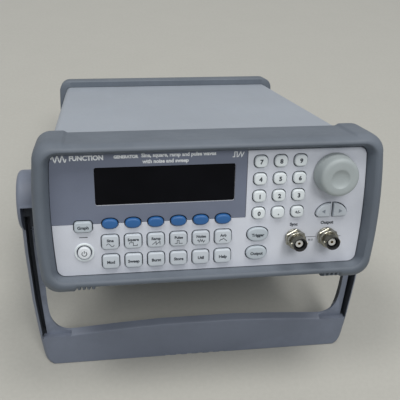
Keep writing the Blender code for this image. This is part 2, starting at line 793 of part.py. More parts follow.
def make_front_bumper(parent):
    """Rubber bumper around the front panel, hollowed beside the handle hubs."""
    high = BUMPER_HALF_H
    sections = (
        (FRONT_BUMPER_REAR_Y, 0.2, high, -high, 3.0, 10.5, 1.0),
        (10.0, 0.0, high, -high, 3.4, 11.0, 1.0),
        (0.0, 0.3, high, 0.3 - high, 3.6, 12.0, 1.0),
        (-4.5, 1.8, high - 1.2, 3.0 - high, 3.6, 12.0, 0.9),
        (-7.1, 3.8, high - 2.8, 4.7 - high, 3.4, 12.0, 0.5),
        (FRONT_BUMPER_CREST_Y, 6.2, high - 4.7, 6.7 - high, 3.0, 11.0, 0.2),
        (-6.9, 8.0, high - 5.5, 8.5 - high, 2.6, 9.0, 0.0),
    )
    rings = []
    for y, inset, top, bottom, bulge, radius, share in sections:
        outline = frame_outline(
            FRONT_BUMPER_HALF_W - inset,
            top,
            bottom,
            bulge,
            radius,
            (TOP_PAD[0], TOP_PAD[1] * share),
            (FOOT_PAD[0], FOOT_PAD[1] * share),
        )
        rings.append(at_depth(outline, y))
    rings.append(at_depth(window_outline(0.0), -0.4))
    rings.append(at_depth(window_outline(0.0), COVER_FRONT_Y - GAP))
    rings.append(at_depth(cover_outline(GAP), COVER_FRONT_Y - GAP))
    rings.append(at_depth(cover_outline(GAP), FRONT_BUMPER_REAR_Y))
    bm = bmesh.new()
    loft(bm, rings, "JOIN")
    bumper = make_object("front_bumper", bm, SLATE, parent)
    notch = bmesh.new()
    for side in (-1.0, 1.0):
        profile = (
            (side * 104.0, 0.0),
            (side * 104.0, HUB_RADIUS + 0.9),
            (side * 125.0, HUB_RADIUS + 0.9),
            (side * 125.0, 0.0),
        )
        turned(notch, profile, "X", 40)
    combine(bumper, notch, "DIFFERENCE", (0.0, PIVOT_Y, 0.0))


def make_rear_bumper(parent):
    """Rubber bumper around the rear edge, with a bevel that lies flat on the bench."""
    bevel_run = 5.0
    bevel_rise = bevel_run * math.tan(math.radians(TILT_DEG))
    sections = (
        (REAR_BUMPER_FRONT_Y, 0.0, 10.0, 1.0),
        (REAR_BUMPER_REAR_Y - 3.2 - bevel_run, 0.0, 10.0, 1.0),
        (REAR_BUMPER_REAR_Y - 3.2, bevel_rise, 9.0, 1.0),
        (REAR_BUMPER_REAR_Y, bevel_rise + 4.0, 6.0, 0.6),
    )
    rings = []
    for y, inset, radius, share in sections:
        outline = frame_outline(
            REAR_BUMPER_HALF_W - inset,
            REAR_BUMPER_TOP - inset,
            inset - BUMPER_HALF_H,
            1.5,
            radius,
            PLAIN,
            (REAR_FOOT_PAD[0], REAR_FOOT_PAD[1] * share),
        )
        rings.append(at_depth(outline, y))
    opening = frame_outline(99.0, 37.0, -37.0, 0.0, 5.0)
    rings.append(at_depth(opening, REAR_BUMPER_REAR_Y))
    rings.append(at_depth(opening, COVER_REAR_Y + GAP))
    rings.append(at_depth(cover_outline(GAP), COVER_REAR_Y + GAP))
    rings.append(at_depth(cover_outline(GAP), REAR_BUMPER_FRONT_Y))
    bm = bmesh.new()
    loft(bm, rings, "JOIN")
    make_object("rear_bumper", bm, SLATE, parent)


def handle_ring(y, outer_inset, foot_inset, crease_drop):
    """One section of the handle's hoop, seen from the front."""
    outer = [
        (HUB_OUTER_X, 0.0),
        (HUB_OUTER_X, -40.0),
        (HUB_OUTER_X - 1.4, -80.0),
        (HUB_OUTER_X - 4.2, -112.0),
        (HUB_OUTER_X - 6.0, -128.0),
        (HUB_OUTER_X - 7.3, -134.5),
        (HUB_OUTER_X - 9.0, -138.2),
        (HUB_OUTER_X - 11.6, HANDLE_FOOT_Z),
        (30.0, HANDLE_FOOT_Z),
    ]
    inner = [
        (30.0, -108.8),
        (62.0, -110.6),
        (92.0, -112.6),
        (103.0, -113.2),
        (110.0, -110.2),
        (114.8, -103.8),
        (117.2, -94.0),
        (ARM_INNER_X, -81.0),
        (ARM_INNER_X, 0.0),
    ]
    draft = max(y - RIB_FRONT_Y, 0.0) / (HANDLE_HALF_DEPTH - RIB_FRONT_Y)
    points = []
    for x, z in outer:
        share = min(max((-z - 126.0) / (-HANDLE_FOOT_Z - 126.0), 0.0), 1.0)
        lowered = z + (HANDLE_FOOT_SLOPE * y + foot_inset) * share
        shrink = outer_inset if x > 60.0 else 0.0
        points.append((x - shrink, lowered))
    bottom_left = mirrored(points)
    hole = []
    for x, z in inner:
        share = min(max((-z - 90.0) / 17.0, 0.0), 1.0)
        widened = x + ARM_DRAFT * draft * (1.0 - share)
        hole.append((widened, z - (crease_drop + BAR_DRAFT * draft) * share))
    hole_left = mirrored(hole)
    return at_depth(points + bottom_left + hole_left + hole, y)


def make_handle(axis_frame):
    """Carry handle: two hubs, two channelled arms and the grip bar that doubles as a stand."""
    rings = [
        handle_ring(-HANDLE_HALF_DEPTH, 2.4, 1.0, 2.2),
        handle_ring(-HANDLE_HALF_DEPTH + 0.8, 1.2, 0.0, 1.5),
        handle_ring(-HANDLE_HALF_DEPTH + 2.4, 0.0, 0.0, 0.0),
        handle_ring(RIB_FRONT_Y, 0.0, 0.0, 0.0),
        handle_ring(HANDLE_HALF_DEPTH - 1.0, 0.0, 0.0, 0.0),
        handle_ring(HANDLE_HALF_DEPTH, 1.0, 0.8, 0.0),
    ]
    bm = bmesh.new()
    loft(bm, rings)
    handle = make_object("carry_handle", bm, SLATE, axis_frame)
    hubs = bmesh.new()
    cavities = bmesh.new()
    for side in (-1.0, 1.0):
        disc = (
            (side * HUB_INNER_X, 0.0),
            (side * HUB_INNER_X, HUB_RADIUS - 0.8),
            (side * (HUB_INNER_X + 0.8), HUB_RADIUS),
            (side * (HUB_OUTER_X - 3.0), HUB_RADIUS),
            (side * (HUB_OUTER_X - 1.0), HUB_RADIUS - 0.9),
            (side * (HUB_OUTER_X + 0.05), HUB_RADIUS - 3.2),
            (side * (HUB_OUTER_X + 0.05), 0.0),
        )
        turned(hubs, disc, "X", 36)
        cavity = (
            (side * (HUB_INNER_X - 2.0), 0.0),
            (side * (HUB_INNER_X - 2.0), PIVOT_BOSS_RADIUS + GAP),
            (side * (ARM_INNER_X + 1.0), PIVOT_BOSS_RADIUS + GAP),
            (side * (ARM_INNER_X + 1.0), PIVOT_PIN_RADIUS + GAP),
            (side * (HUB_OUTER_X - 3.2), PIVOT_PIN_RADIUS + GAP),
            (side * (HUB_OUTER_X - 3.2), 0.0),
        )
        turned(cavities, cavity, "X", 28)
    combine(handle, hubs, "UNION")
    relief = bmesh.new()
    groove = bmesh.new()
    hollow = bmesh.new()
    skirt = HUB_OUTER_X - SKIRT_THICK
    for side in (-1.0, 1.0):
        shallow = [
            (side * 115.0, RELIEF_TOP),
            (side * skirt, RELIEF_TOP),
            (side * skirt, -40.0),
            (side * (skirt - 1.0), -80.0),
            (side * (skirt - 3.8), -RELIEF_DEPTH),
            (side * 101.5, -RELIEF_DEPTH),
            (side * 101.5, -100.0),
            (side * 115.0, -78.0),
        ]
        prism(relief, shallow, -HANDLE_HALF_DEPTH - 2.0, RIB_FRONT_Y)
        near, far = sorted((side * HUB_HOLLOW_X, side * (skirt + 0.4)))
        lowest = (near, -HUB_RADIUS - 2.0, RELIEF_TOP - 0.8)
        block(hollow, lowest, (far, HUB_HOLLOW_Y, HUB_HOLLOW_TOP))
        deep = [
            (side * (skirt - GROOVE_WIDTH), GROOVE_TOP),
            (side * skirt, GROOVE_TOP),
            (side * skirt, -40.0),
            (side * (skirt - 1.0), -80.0),
            (side * (skirt - 3.7), 1.0 - RELIEF_DEPTH),
            (side * (skirt - 7.0), 1.0 - RELIEF_DEPTH),
            (side * (skirt - 1.0 - GROOVE_WIDTH), -80.0),
        ]
        prism(groove, deep, -HUB_RADIUS - 3.0, HANDLE_HALF_DEPTH - 3.0)
    combine(handle, relief, "DIFFERENCE").name = "carry_handle_relief_tool"
    combine(handle, groove, "DIFFERENCE").name = "carry_handle_groove_tool"
    combine(handle, hollow, "DIFFERENCE").name = "carry_handle_hollow_tool"
    combine(handle, cavities, "DIFFERENCE").name = "carry_handle_cavity_tool"


def make_pivot_hubs(parent):
    """Fixed bosses on the case that the handle turns on."""
    for name, side in (("left_pivot_hub", -1.0), ("right_pivot_hub", 1.0)):
        profile = (
            (side * (COVER_HALF_W + GAP), 0.0),
            (side * (COVER_HALF_W + GAP), PIVOT_BOSS_RADIUS),
            (side * (ARM_INNER_X + 0.7), PIVOT_BOSS_RADIUS),
            (side * (ARM_INNER_X + 0.7), PIVOT_PIN_RADIUS),
            (side * (HUB_OUTER_X - 3.6), PIVOT_PIN_RADIUS),
            (side * (HUB_OUTER_X - 3.6), 0.0),
        )
        bm = bmesh.new()
        turned(bm, profile, "X", 28)
        make_object(name, bm, BLACK_PLASTIC, parent, (0.0, PIVOT_Y, 0.0), smooth=False)


def build():
    """Build the whole instrument."""
    remove_everything()
    case = make_empty("case_frame", None, (0.0, CENTRE_SHIFT_Y, FLOOR_DROP), -TILT_DEG)
    handle_axis = make_empty("handle_axis", case, (0.0, PIVOT_Y, 0.0), HANDLE_SWING_DEG)
    make_case(case)
    make_bezel(case)
    make_overlay(case)
    display_half = make_display(case)
    make_keypad_board(case, display_half)
    for name, centre in key_places():
        make_key(name, centre, case)
    make_knob(case)
    make_bnc("sync_connector", SYNC_AXIS, 0.0, -1.0, case)
    make_bnc("output_connector", OUTPUT_AXIS, 0.0, -1.0, case)
    rear_face = REAR_PANEL_Y + REAR_PANEL_THICK
    make_bnc("modulation_connector", MODULATION_AXIS, rear_face, 1.0, case)
    make_bnc("trigger_connector", REAR_TRIGGER_AXIS, rear_face, 1.0, case)
    make_rear_panel(case)
    make_inlet(case)
    make_fan(case)
    make_electronics(case)
    make_front_bumper(case)
    make_rear_bumper(case)
    make_handle(handle_axis)
    make_pivot_hubs(case)


build()
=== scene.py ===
"""Looks of the bench function generator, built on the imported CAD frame."""

import json
import math

import bmesh
import bpy
from mathutils import Matrix, Vector

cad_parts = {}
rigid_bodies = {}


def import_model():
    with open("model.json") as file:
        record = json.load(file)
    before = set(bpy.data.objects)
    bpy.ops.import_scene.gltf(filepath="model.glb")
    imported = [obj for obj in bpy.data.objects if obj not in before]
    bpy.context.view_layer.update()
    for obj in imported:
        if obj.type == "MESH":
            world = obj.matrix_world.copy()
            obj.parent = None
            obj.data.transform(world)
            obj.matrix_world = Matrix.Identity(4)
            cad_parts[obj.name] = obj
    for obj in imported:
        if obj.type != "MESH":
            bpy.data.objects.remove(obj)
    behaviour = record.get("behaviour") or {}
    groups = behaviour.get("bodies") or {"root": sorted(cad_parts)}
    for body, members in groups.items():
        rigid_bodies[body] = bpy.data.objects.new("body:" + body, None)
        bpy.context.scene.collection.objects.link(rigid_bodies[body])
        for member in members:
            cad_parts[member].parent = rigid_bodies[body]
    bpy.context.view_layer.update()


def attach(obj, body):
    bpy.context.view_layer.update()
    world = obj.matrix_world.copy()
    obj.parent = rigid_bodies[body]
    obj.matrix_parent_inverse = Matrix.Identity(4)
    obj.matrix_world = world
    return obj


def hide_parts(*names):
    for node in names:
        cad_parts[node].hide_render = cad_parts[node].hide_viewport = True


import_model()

MM = 0.001

# Stance of the case and of the handle, as in the CAD
TILT = math.radians(20.9)
SWING = math.radians(5.6)
FLOOR_DROP = 150.87
CENTRE_SHIFT_Y = -134.043
PIVOT_Y = 44.0

CASE = Matrix.Translation((0.0, CENTRE_SHIFT_Y * MM, FLOOR_DROP * MM))
CASE = CASE @ Matrix.Rotation(-TILT, 4, "X")
HANDLE = CASE @ Matrix.Translation((0.0, PIVOT_Y * MM, 0.0)) @ Matrix.Rotation(SWING, 4, "X")

# Case sections, panel layout and handle, in millimetres in the case's own frame
COVER_HALF_W = 106.4
COVER_HALF_H = 44.15
COVER_RADIUS = 5.0
COVER_FRONT_Y = 6.0
COVER_REAR_Y = 289.0
WINDOW_HALF_W = 105.9
WINDOW_TOP = 43.6
WINDOW_BOTTOM = -40.6
OVERLAY_RIGHT = 22.9
OVERLAY_BOTTOM = -3.4
DISPLAY_CENTRE = (-30.8, 21.7)
DISPLAY_SIZE = (92.0, 25.8)
REAR_FACE_Y = 278.0
KEY_FRONT = -2.2
KNOB_AXIS = (82.3, 25.8)
SYNC_AXIS = (58.0, -19.6)
OUTPUT_AXIS = (80.9, -19.6)
MODULATION_AXIS = (88.0, 20.0)
REAR_TRIGGER_AXIS = (88.0, -4.0)
TOP_PAD_X = 95.0
FOOT_PAD_X = 92.5
REAR_PAD_X = 79.0
PLAIN = (79.0, 0.0)
BUMPER_HALF_H = 51.9
REAR_BUMPER_TOP = 50.5
HUB_RADIUS = 21.5
HUB_OUTER_X = 130.5
HUB_INNER_X = 107.2
HUB_ROLL = 3.4
ARM_INNER_X = 118.0
HANDLE_FOOT_Z = -140.14
HANDLE_FOOT_SLOPE = math.tan(TILT - SWING)
HALF_DEPTH = 9.0
RIB_FRONT_Y = -5.0
RELIEF_TOP = -17.0
RELIEF_BOTTOM = -115.5
GROOVE_TOP = -8.8
GROOVE_BOTTOM = -114.5
GROOVE_REAR_Y = 4.0
SKIRT_THICK = 2.9

# Keys: centre of the first one, pitch and size
SOFT_KEY_START = (-67.9, -3.5)
SOFT_KEY_PITCH = (15.1, 0.0)
SOFT_KEY_SIZE = (10.2, 6.6)
FUNCTION_KEY_START = (-68.2, -16.4)
FUNCTION_KEY_PITCH = (15.2, 14.1)
FUNCTION_KEY_SIZE = (11.2, 9.8)
DIGIT_KEY_START = (31.8, 35.5)
DIGIT_KEY_PITCH = (13.4, 12.0)
DIGIT_KEY_SIZE = (8.5, 7.6)
OVAL_KEY_SIZE = (14.3, 9.6)
POWER_KEY = (-85.5, -23.3)
KEY_CLEARANCE = 0.7
KEY_FLANGE = 0.8
KEY_FLANGE_Y = 3.1
KEY_BACK_Y = 4.3

# Front of the overlay film, and how far printing stands in front of what carries it
FILM_FRONT_Y = 0.4
INK_LIFT = 0.04


def linear(red, green, blue):
    """Display colour to linear light."""
    values = []
    for level in (red, green, blue):
        share = level / 255.0
        values.append(share / 12.92 if share <= 0.04045 else ((share + 0.055) / 1.055) ** 2.4)
    return (values[0], values[1], values[2], 1.0)


# ---- Materials


class Shader:
    """A material under construction."""

    def __init__(self, name):
        self.material = bpy.data.materials.new(name)
        self.material.use_nodes = True
        self.tree = self.material.node_tree
        self.principled = self.tree.nodes["Principled BSDF"]
        self.coords = self.tree.nodes.new("ShaderNodeTexCoord").outputs["Object"]

    def link(self, source, target):
        """Feed a socket from a node, or set it to a plain value."""
        if isinstance(source, (float, tuple)):
            target.default_value = source
        else:
            self.tree.links.new(source, target)

    def node(self, kind, **values):
        """A new node with plain values on its sockets; From_Min stands for From Min."""
        node = self.tree.nodes.new("ShaderNode" + kind)
        for socket, value in values.items():
            node.inputs[socket.replace("_", " ")].default_value = value
        return node

    def drive(self, socket, value):
        """Set a socket of the surface, from a node or to one value all over."""
        self.link(value, self.principled.inputs[socket])

    def noise(self, scale, detail=3.0, roughness=0.5, stretch=None):
        node = self.node("TexNoise", Scale=scale, Detail=detail, Roughness=roughness)
        vector = self.coords
        if stretch is not None:
            mapping = self.node("Mapping", Scale=stretch)
            self.link(self.coords, mapping.inputs["Vector"])
            vector = mapping.outputs["Vector"]
        self.link(vector, node.inputs["Vector"])
        return node.outputs["Fac"]

    def remap(self, value, low, high, to_low=0.0, to_high=1.0):
        ends = {"From_Min": low, "From_Max": high, "To_Min": to_low, "To_Max": to_high}
        node = self.node("MapRange", **ends)
        self.link(value, node.inputs["Value"])
        return node.outputs["Result"]

    def mix(self, factor, first, second):
        node = self.node("Mix")
        node.data_type = "RGBA"
        self.link(factor, node.inputs["Factor"])
        colours = [item for item in node.inputs if item.type == "RGBA"]
        for target, value in zip(colours, (first, second)):
            self.link(value, target)
        return [item for item in node.outputs if item.type == "RGBA"][0]

    def multiply(self, first, second):
        node = self.node("Math")
        node.operation = "MULTIPLY"
        self.link(first, node.inputs[0])
        self.link(second, node.inputs[1])
        return node.outputs["Value"]

    def bump(self, height, strength, distance):
        node = self.node("Bump", Strength=strength, Distance=distance)
        self.link(height, node.inputs["Height"])
        return node.outputs["Normal"]

    def edge_wear(self):
        """How far the surface is a convex edge."""
        geometry = self.node("NewGeometry")
        return self.remap(geometry.outputs["Pointiness"], 0.52, 0.62)

    def upward(self, low, high):
        """How far the surface faces the sky."""
        geometry = self.node("NewGeometry")
        split = self.node("SeparateXYZ")
        self.link(geometry.outputs["Normal"], split.inputs["Vector"])
        return self.remap(split.outputs["Z"], low, high)


def shade(colour, factor):
    """Lighten or darken a linear colour."""
    return (colour[0] * factor, colour[1] * factor, colour[2] * factor, colour[3])


def moulded(
    name, colour, roughness, grain=1500.0, depth=0.00006, strength=0.35, wear=0.0, dust=0.0,
    cloudy=0.06,
):
    """Moulded plastic or rubber: fine grain, cloudy tint, lighter edges that are scuffs and on the
    handle also a painted highlight, and a little dust.
    """
    shader = Shader(name)
    cloud = shader.noise(22.0, 4.0, 0.6)
    drift = shader.remap(cloud, 0.35, 0.65)
    tint = shader.mix(drift, shade(colour, 1.0 - cloudy), shade(colour, 1.0 + cloudy))
    fine = shader.noise(grain, 2.0, 0.6)
    speck = shader.remap(fine, 0.3, 0.7, 0.0, 0.10)
    tint = shader.mix(speck, tint, shade(colour, 1.5))
    if dust > 0.0:
        settled = shader.multiply(shader.upward(0.3, 1.0), shader.remap(cloud, 0.3, 0.7, 0.4, 1.0))
        tint = shader.mix(shader.multiply(settled, dust), tint, linear(168, 172, 176))
    # Convex edges lightened: scuffs, and at the handle's strong setting also a painted highlight.
    if wear > 0.0:
        scuffs = shader.remap(shader.noise(120.0), 0.4, 0.6, 0.2)
        rubbed_and_highlit = shader.multiply(shader.edge_wear(), scuffs)
        tint = shader.mix(shader.multiply(rubbed_and_highlit, wear), tint, shade(colour, 1.55))
    shader.drive("Base Color", tint)
    patch = shader.noise(90.0, 3.0, 0.55)
    rough = shader.remap(patch, 0.3, 0.7, roughness - 0.06, roughness + 0.07)
    shader.drive("Roughness", rough)
    shader.drive("Normal", shader.bump(fine, strength, depth))
    shader.drive("Specular IOR Level", 0.42)
    return shader.material


def painted(name, colour, roughness):
    """Powder-painted sheet: orange peel, faint cloudiness, fine wipe marks."""
    shader = Shader(name)
    cloud = shader.noise(9.0, 4.0, 0.6)
    tint = shader.mix(shader.remap(cloud, 0.3, 0.7), shade(colour, 0.96), shade(colour, 1.04))
    wipe = shader.noise(60.0, 3.0, 0.6, (1.0, 0.08, 1.0))
    tint = shader.mix(shader.remap(wipe, 0.55, 0.75, 0.0, 0.25), tint, shade(colour, 1.12))
    shader.drive("Base Color", tint)
    shader.drive("Roughness", shader.remap(wipe, 0.3, 0.7, roughness - 0.05, roughness + 0.06))
    peel = shader.noise(700.0, 2.0, 0.5)
    shader.drive("Normal", shader.bump(peel, 0.3, 0.00004))
    return shader.material


def metal(name, colour, roughness, brush=(1.0, 40.0, 1.0)):
    """Plated or brushed metal with fine directional marks."""
    shader = Shader(name)
    marks = shader.noise(400.0, 3.0, 0.6, brush)
    stain = shader.noise(60.0, 3.0, 0.6)
    tint = shader.mix(shader.remap(stain, 0.3, 0.7), shade(colour, 0.86), shade(colour, 1.08))
    shader.drive("Base Color", tint)
    shader.drive("Metallic", 1.0)
    shader.drive("Roughness", shader.remap(marks, 0.3, 0.7, roughness - 0.07, roughness + 0.1))
    shader.drive("Normal", shader.bump(marks, 0.25, 0.00003))
    return shader.material


def printed(name, colour):
    """Screen-printed ink, slightly uneven."""
    shader = Shader(name)
    patch = shader.noise(1800.0, 2.0, 0.5)
    tint = shader.mix(shader.remap(patch, 0.35, 0.65), shade(colour, 0.9), shade(colour, 1.1))
    shader.drive("Base Color", tint)
    shader.drive("Roughness", shader.remap(patch, 0.3, 0.7, 0.55, 0.65))
    return shader.material


def display_glass(name):
    """Black tinted window: smooth, slightly cloudy, with faint smears."""
    shader = Shader(name)
    cloud = shader.noise(35.0, 2.0, 0.5)
    tint = shader.mix(shader.remap(cloud, 0.3, 0.7), linear(4, 4, 7), linear(10, 10, 15))
    shader.drive("Base Color", tint)
    smear = shader.noise(55.0, 4.0, 0.65, (1.0, 1.0, 0.4))
    shader.drive("Roughness", shader.remap(smear, 0.4, 0.75, 0.10, 0.24))
    shader.drive("Specular IOR Level", 0.12)
    shader.drive("Coat Weight", 0.05)
    shader.drive("Coat Roughness", 0.06)
    return shader.material


def painted_glow(name, colour, power):
    """White translucent plastic with a faint emission: a painted glow, not a lamp."""
    shader = Shader(name)
    cloud = shader.noise(420.0, 2.0, 0.5)
    tint = shader.mix(shader.remap(cloud, 0.3, 0.7), shade(colour, 0.93), colour)
    shader.drive("Base Color", tint)
    shader.drive("Emission Color", tint)
    shader.drive("Emission Strength", power)
    shader.drive("Roughness", shader.remap(cloud, 0.3, 0.7, 0.35, 0.5))
    return shader.material


def key_rubber(name, colour, roughness=0.55, wear=0.25):
    """Fine-grained rubber of the keys."""
    return moulded(name, colour, roughness, 2000.0, 0.00003, 0.25, wear)


SLATE = moulded("slate_rubber", linear(94, 102, 112), 0.58, 1300.0, 0.00007, 0.4, 0.35, 0.10)
# The handle's strong edge lightening is partly wear and partly a painted highlight along its
# edges.
HANDLE_SLATE = moulded("handle_plastic", linear(109, 116, 130), 0.52, wear=0.6, dust=0.05)
# Dark grey for the handle arms' channels: painted shade that deepens the grooves.
CHANNEL_SHADE = moulded("handle_channel_painted_shade", linear(66, 71, 79), 0.7, wear=0.1, dust=0.05)
COVER_PAINT = painted("cover_paint", linear(155, 162, 171), 0.46)
PANEL = moulded("panel_plastic", linear(200, 204, 213), 0.5, 1900.0, 0.00003, 0.25)
OVERLAY = moulded("overlay_print", linear(108, 115, 132), 0.48, 2200.0, 0.00002, 0.2)
KEY_GREY = key_rubber("key_rubber", linear(212, 219, 222))
SHADED_GREY = key_rubber("shaded_key_rubber", linear(174, 183, 190))
FUNCTION_GREY = key_rubber("function_key_rubber", linear(188, 195, 202))
KEY_BLUE = key_rubber("key_blue", linear(46, 96, 152), 0.42, 0.3)
# Dark skirts of the keys: painted shade in the gaps between keys and panel.
KEY_GAP_SHADE = key_rubber("key_gap_painted_shade", linear(96, 104, 116), 0.7, 0.0)
BLUE_GAP_SHADE = key_rubber("blue_key_gap_painted_shade", linear(18, 26, 44), 0.6, 0.0)
KNOB = moulded("knob_plastic", linear(158, 166, 167), 0.5, 1700.0, 0.00004, 0.3, 0.2)
BLACK = moulded("black_plastic", linear(26, 27, 29), 0.5, 1500.0, 0.00004, 0.3, 0.2)
INSULATOR = moulded("white_insulator", linear(232, 232, 226), 0.4, 1500.0, 0.00002, 0.15)
NICKEL = metal("nickel_plate", linear(172, 170, 158), 0.3, (1.0, 6.0, 1.0))
DARK_NICKEL = metal("dark_barrel", linear(128, 126, 116), 0.36, (1.0, 6.0, 1.0))
GOLD = metal("gold_contact", linear(150, 124, 76), 0.3)
STEEL = metal("plated_steel", linear(178, 180, 182), 0.36, (20.0, 1.0, 1.0))
INK_DARK = printed("ink_dark", linear(52, 58, 66))
INK_WHITE = printed("ink_white", linear(226, 230, 232))
INK_GREY = printed("ink_grey", linear(128, 136, 146))
DISPLAY = display_glass("display_window_glass")
# The power key glows faintly by emission: painted glow, there is no lamp behind it.
POWER_PAINTED_GLOW = painted_glow("power_key_painted_glow", linear(216, 221, 226), 0.06)
BOARD = moulded("circuit_board", linear(30, 92, 58), 0.45, 900.0, 0.00005, 0.3)


# ---- Geometry


def around(centre, radius, angles):
    """Points of a circle at these angles."""
    return [(centre[0] + radius * math.cos(a), centre[1] + radius * math.sin(a)) for a in angles]


def arc(centre, radius, start_deg, end_deg, steps):
    turn = end_deg - start_deg
    angles = [math.radians(start_deg + turn * index / steps) for index in range(steps + 1)]
    return around(centre, radius, angles)


def circle(radius, count, centre=(0.0, 0.0)):
    angles = [2.0 * math.pi * (index + 0.5) / count for index in range(count)]
    return around(centre, radius, angles)


def rounded_box(width, height, radius, steps=6, centre=(0.0, 0.0)):
    reach_x = width / 2.0 - radius
    reach_y = height / 2.0 - radius
    points = []
    for side_x, side_y, start in ((1, 1, 0), (-1, 1, 90), (-1, -1, 180), (1, -1, 270)):
        corner = (centre[0] + side_x * reach_x, centre[1] + side_y * reach_y)
        points.extend(arc(corner, radius, start, start + 90, steps))
    return points


def mirrored(points):
    """The outline on the other side of the middle, run the same way round."""
    return [(-x, z) for x, z in reversed(points)]


def shifted(outline, offset):
    return [(x + offset[0], z + offset[1]) for x, z in outline]


def grown(outline, distance):
    """Offset a convex outline outwards."""
    following = outline[1:] + outline[:1]
    area = sum(x0 * z1 - x1 * z0 for (x0, z0), (x1, z1) in zip(outline, following))
    turn = 1.0 if area > 0.0 else -1.0
    result = []
    for index, (here, after) in enumerate(zip(outline, following)):
        here = Vector(here)
        first = (here - Vector(outline[index - 1])).normalized()
        second = (Vector(after) - here).normalized()
        normal_a = Vector((first.y, -first.x)) * turn
        normal_b = Vector((second.y, -second.x)) * turn
        middle = (normal_a + normal_b).normalized()
        point = here + middle * (distance / max(middle.dot(normal_a), 0.5))
        result.append((point.x, point.y))
    return result


def at_depth(outline, y):
    return [Vector((x * MM, y * MM, z * MM)) for x, z in outline]


def loft(bm, rings, ends="CAP"):
    """Skin over rings of equal count, closed by end caps or joined last to first."""
    loops = []
    for ring in rings:
        loops.append([bm.verts.new(point) for point in ring])
    pairs = list(zip(loops, loops[1:]))
    if ends == "JOIN":
        pairs.append((loops[-1], loops[0]))
    count = len(loops[0])
    for first, second in pairs:
        for index in range(count):
            after = (index + 1) % count
            bm.faces.new((first[index], first[after], second[after], second[index]))
    if ends == "CAP":
        bm.faces.new(loops[0])
        bm.faces.new(list(reversed(loops[-1])))


def layered(bm, sections, ends="CAP"):
    """Skin over outlines that stand at their own depths."""
    loft(bm, [at_depth(outline, y) for outline, y in sections], ends)


def prism(bm, outline, y_from, y_to):
    layered(bm, [(outline, y_from), (outline, y_to)])


def block(bm, low, high):
    size = [high[axis] - low[axis] for axis in range(3)]
    middle = [(high[axis] + low[axis]) / 2.0 for axis in range(3)]
    place = Matrix.Translation(Vector(middle) * MM)
    scale = Matrix.Diagonal((size[0] * MM, size[1] * MM, size[2] * MM, 1.0))
    bmesh.ops.create_cube(bm, size=1.0, matrix=place @ scale)


def turned(bm, profile, axis, count, centre=(0.0, 0.0), closed=False):
    """Revolve (distance along the axis, radius) pairs.

    An open profile starts and ends on the axis; a closed one makes a ring.
    """
    rings = []
    for along, radius in (profile if closed else profile[1:-1]):
        ring = []
        for u, v in circle(radius, count, centre):
            point = (along, u, v) if axis == "X" else (u, along, v)
            ring.append(Vector(point) * MM)
        rings.append(ring)
    loft(bm, rings, "JOIN" if closed else "CAP")


def mark_sharp(mesh, angle_deg):
    """Smooth shading with crisp edges."""
    bm = bmesh.new()
    bm.from_mesh(mesh)
    limit = math.radians(angle_deg)
    for face in bm.faces:
        face.smooth = True
    for edge in bm.edges:
        if len(edge.link_faces) == 2:
            edge.smooth = edge.calc_face_angle(0.0) < limit
    bm.to_mesh(mesh)
    bm.free()


def in_scene(name, data):
    """A new object in the scene."""
    item = bpy.data.objects.new(name, data)
    bpy.context.scene.collection.objects.link(item)
    return item


def mesh_object(name, bm, place):
    """An object from closed mesh data, with its faces turned outwards."""
    bmesh.ops.recalc_face_normals(bm, faces=bm.faces)
    mesh = bpy.data.meshes.new(name)
    bm.to_mesh(mesh)
    bm.free()
    item = in_scene(name, mesh)
    item.matrix_world = place
    return item


def applied_mesh(item):
    """The mesh that an object's modifiers or text come to."""
    bpy.context.view_layer.update()
    graph = bpy.context.evaluated_depsgraph_get()
    return bpy.data.meshes.new_from_object(item.evaluated_get(graph))


def add_bevel(item, width, angle_deg):
    """Round the edges sharper than an angle."""
    modifier = item.modifiers.new("bevel", "BEVEL")
    modifier.width = width * MM
    modifier.segments = 2
    modifier.limit_method = "ANGLE"
    modifier.angle_limit = math.radians(angle_deg)


def case_place(axis, y=0.0):
    """Where a piece made about its own axis stands on the case."""
    return CASE @ Matrix.Translation((axis[0] * MM, y * MM, axis[1] * MM))


def piece(
    name, bm, material, body="case", place=CASE, steps=(), bevel=0.0, sharp=35.0, replaces=()
):
    """Finish a piece: booleans, edge rounding, shading, material, and the body it rides on."""
    item = mesh_object(name, bm, place)
    tools = []
    for operation, tool_bm in steps:
        tool = mesh_object("tool", tool_bm, place)
        tools.append(tool)
        modifier = item.modifiers.new(operation, "BOOLEAN")
        modifier.operation = operation
        modifier.solver = "EXACT"
        modifier.object = tool
    if bevel > 0.0:
        add_bevel(item, bevel, 38.0)
    if item.modifiers:
        applied = applied_mesh(item)
        item.modifiers.clear()
        item.data = applied
    for tool in tools:
        bpy.data.objects.remove(tool, do_unlink=True)
    mark_sharp(item.data, sharp)
    item.data.materials.clear()
    item.data.materials.append(material)
    item.data.transform(place)
    item.matrix_world = Matrix.Identity(4)
    if bevel > 0.0:
        item.modifiers.new("flat_faces", "WEIGHTED_NORMAL").keep_sharp = True
    bpy.context.view_layer.update()
    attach(item, body)
    if replaces:
        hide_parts(*replaces)
    return item


def smooth_rows(rows, steps):
    """Rows of numbers joined by a smooth curve that passes through each row."""
    padded = [rows[0], *rows, rows[-1]]
    result = []
    for index in range(len(rows) - 1):
        for step in range(steps):
            share = step / steps
            row = []
            for p0, p1, p2, p3 in zip(*padded[index:index + 4]):
                linear_part = (p2 - p0) * share
                square_part = (2.0 * p0 - 5.0 * p1 + 4.0 * p2 - p3) * share ** 2
                cubic_part = (3.0 * p1 - p0 - 3.0 * p2 + p3) * share ** 3
                row.append(p1 + 0.5 * (linear_part + square_part + cubic_part))
            result.append(tuple(row))
    result.append(tuple(rows[-1]))
    return result


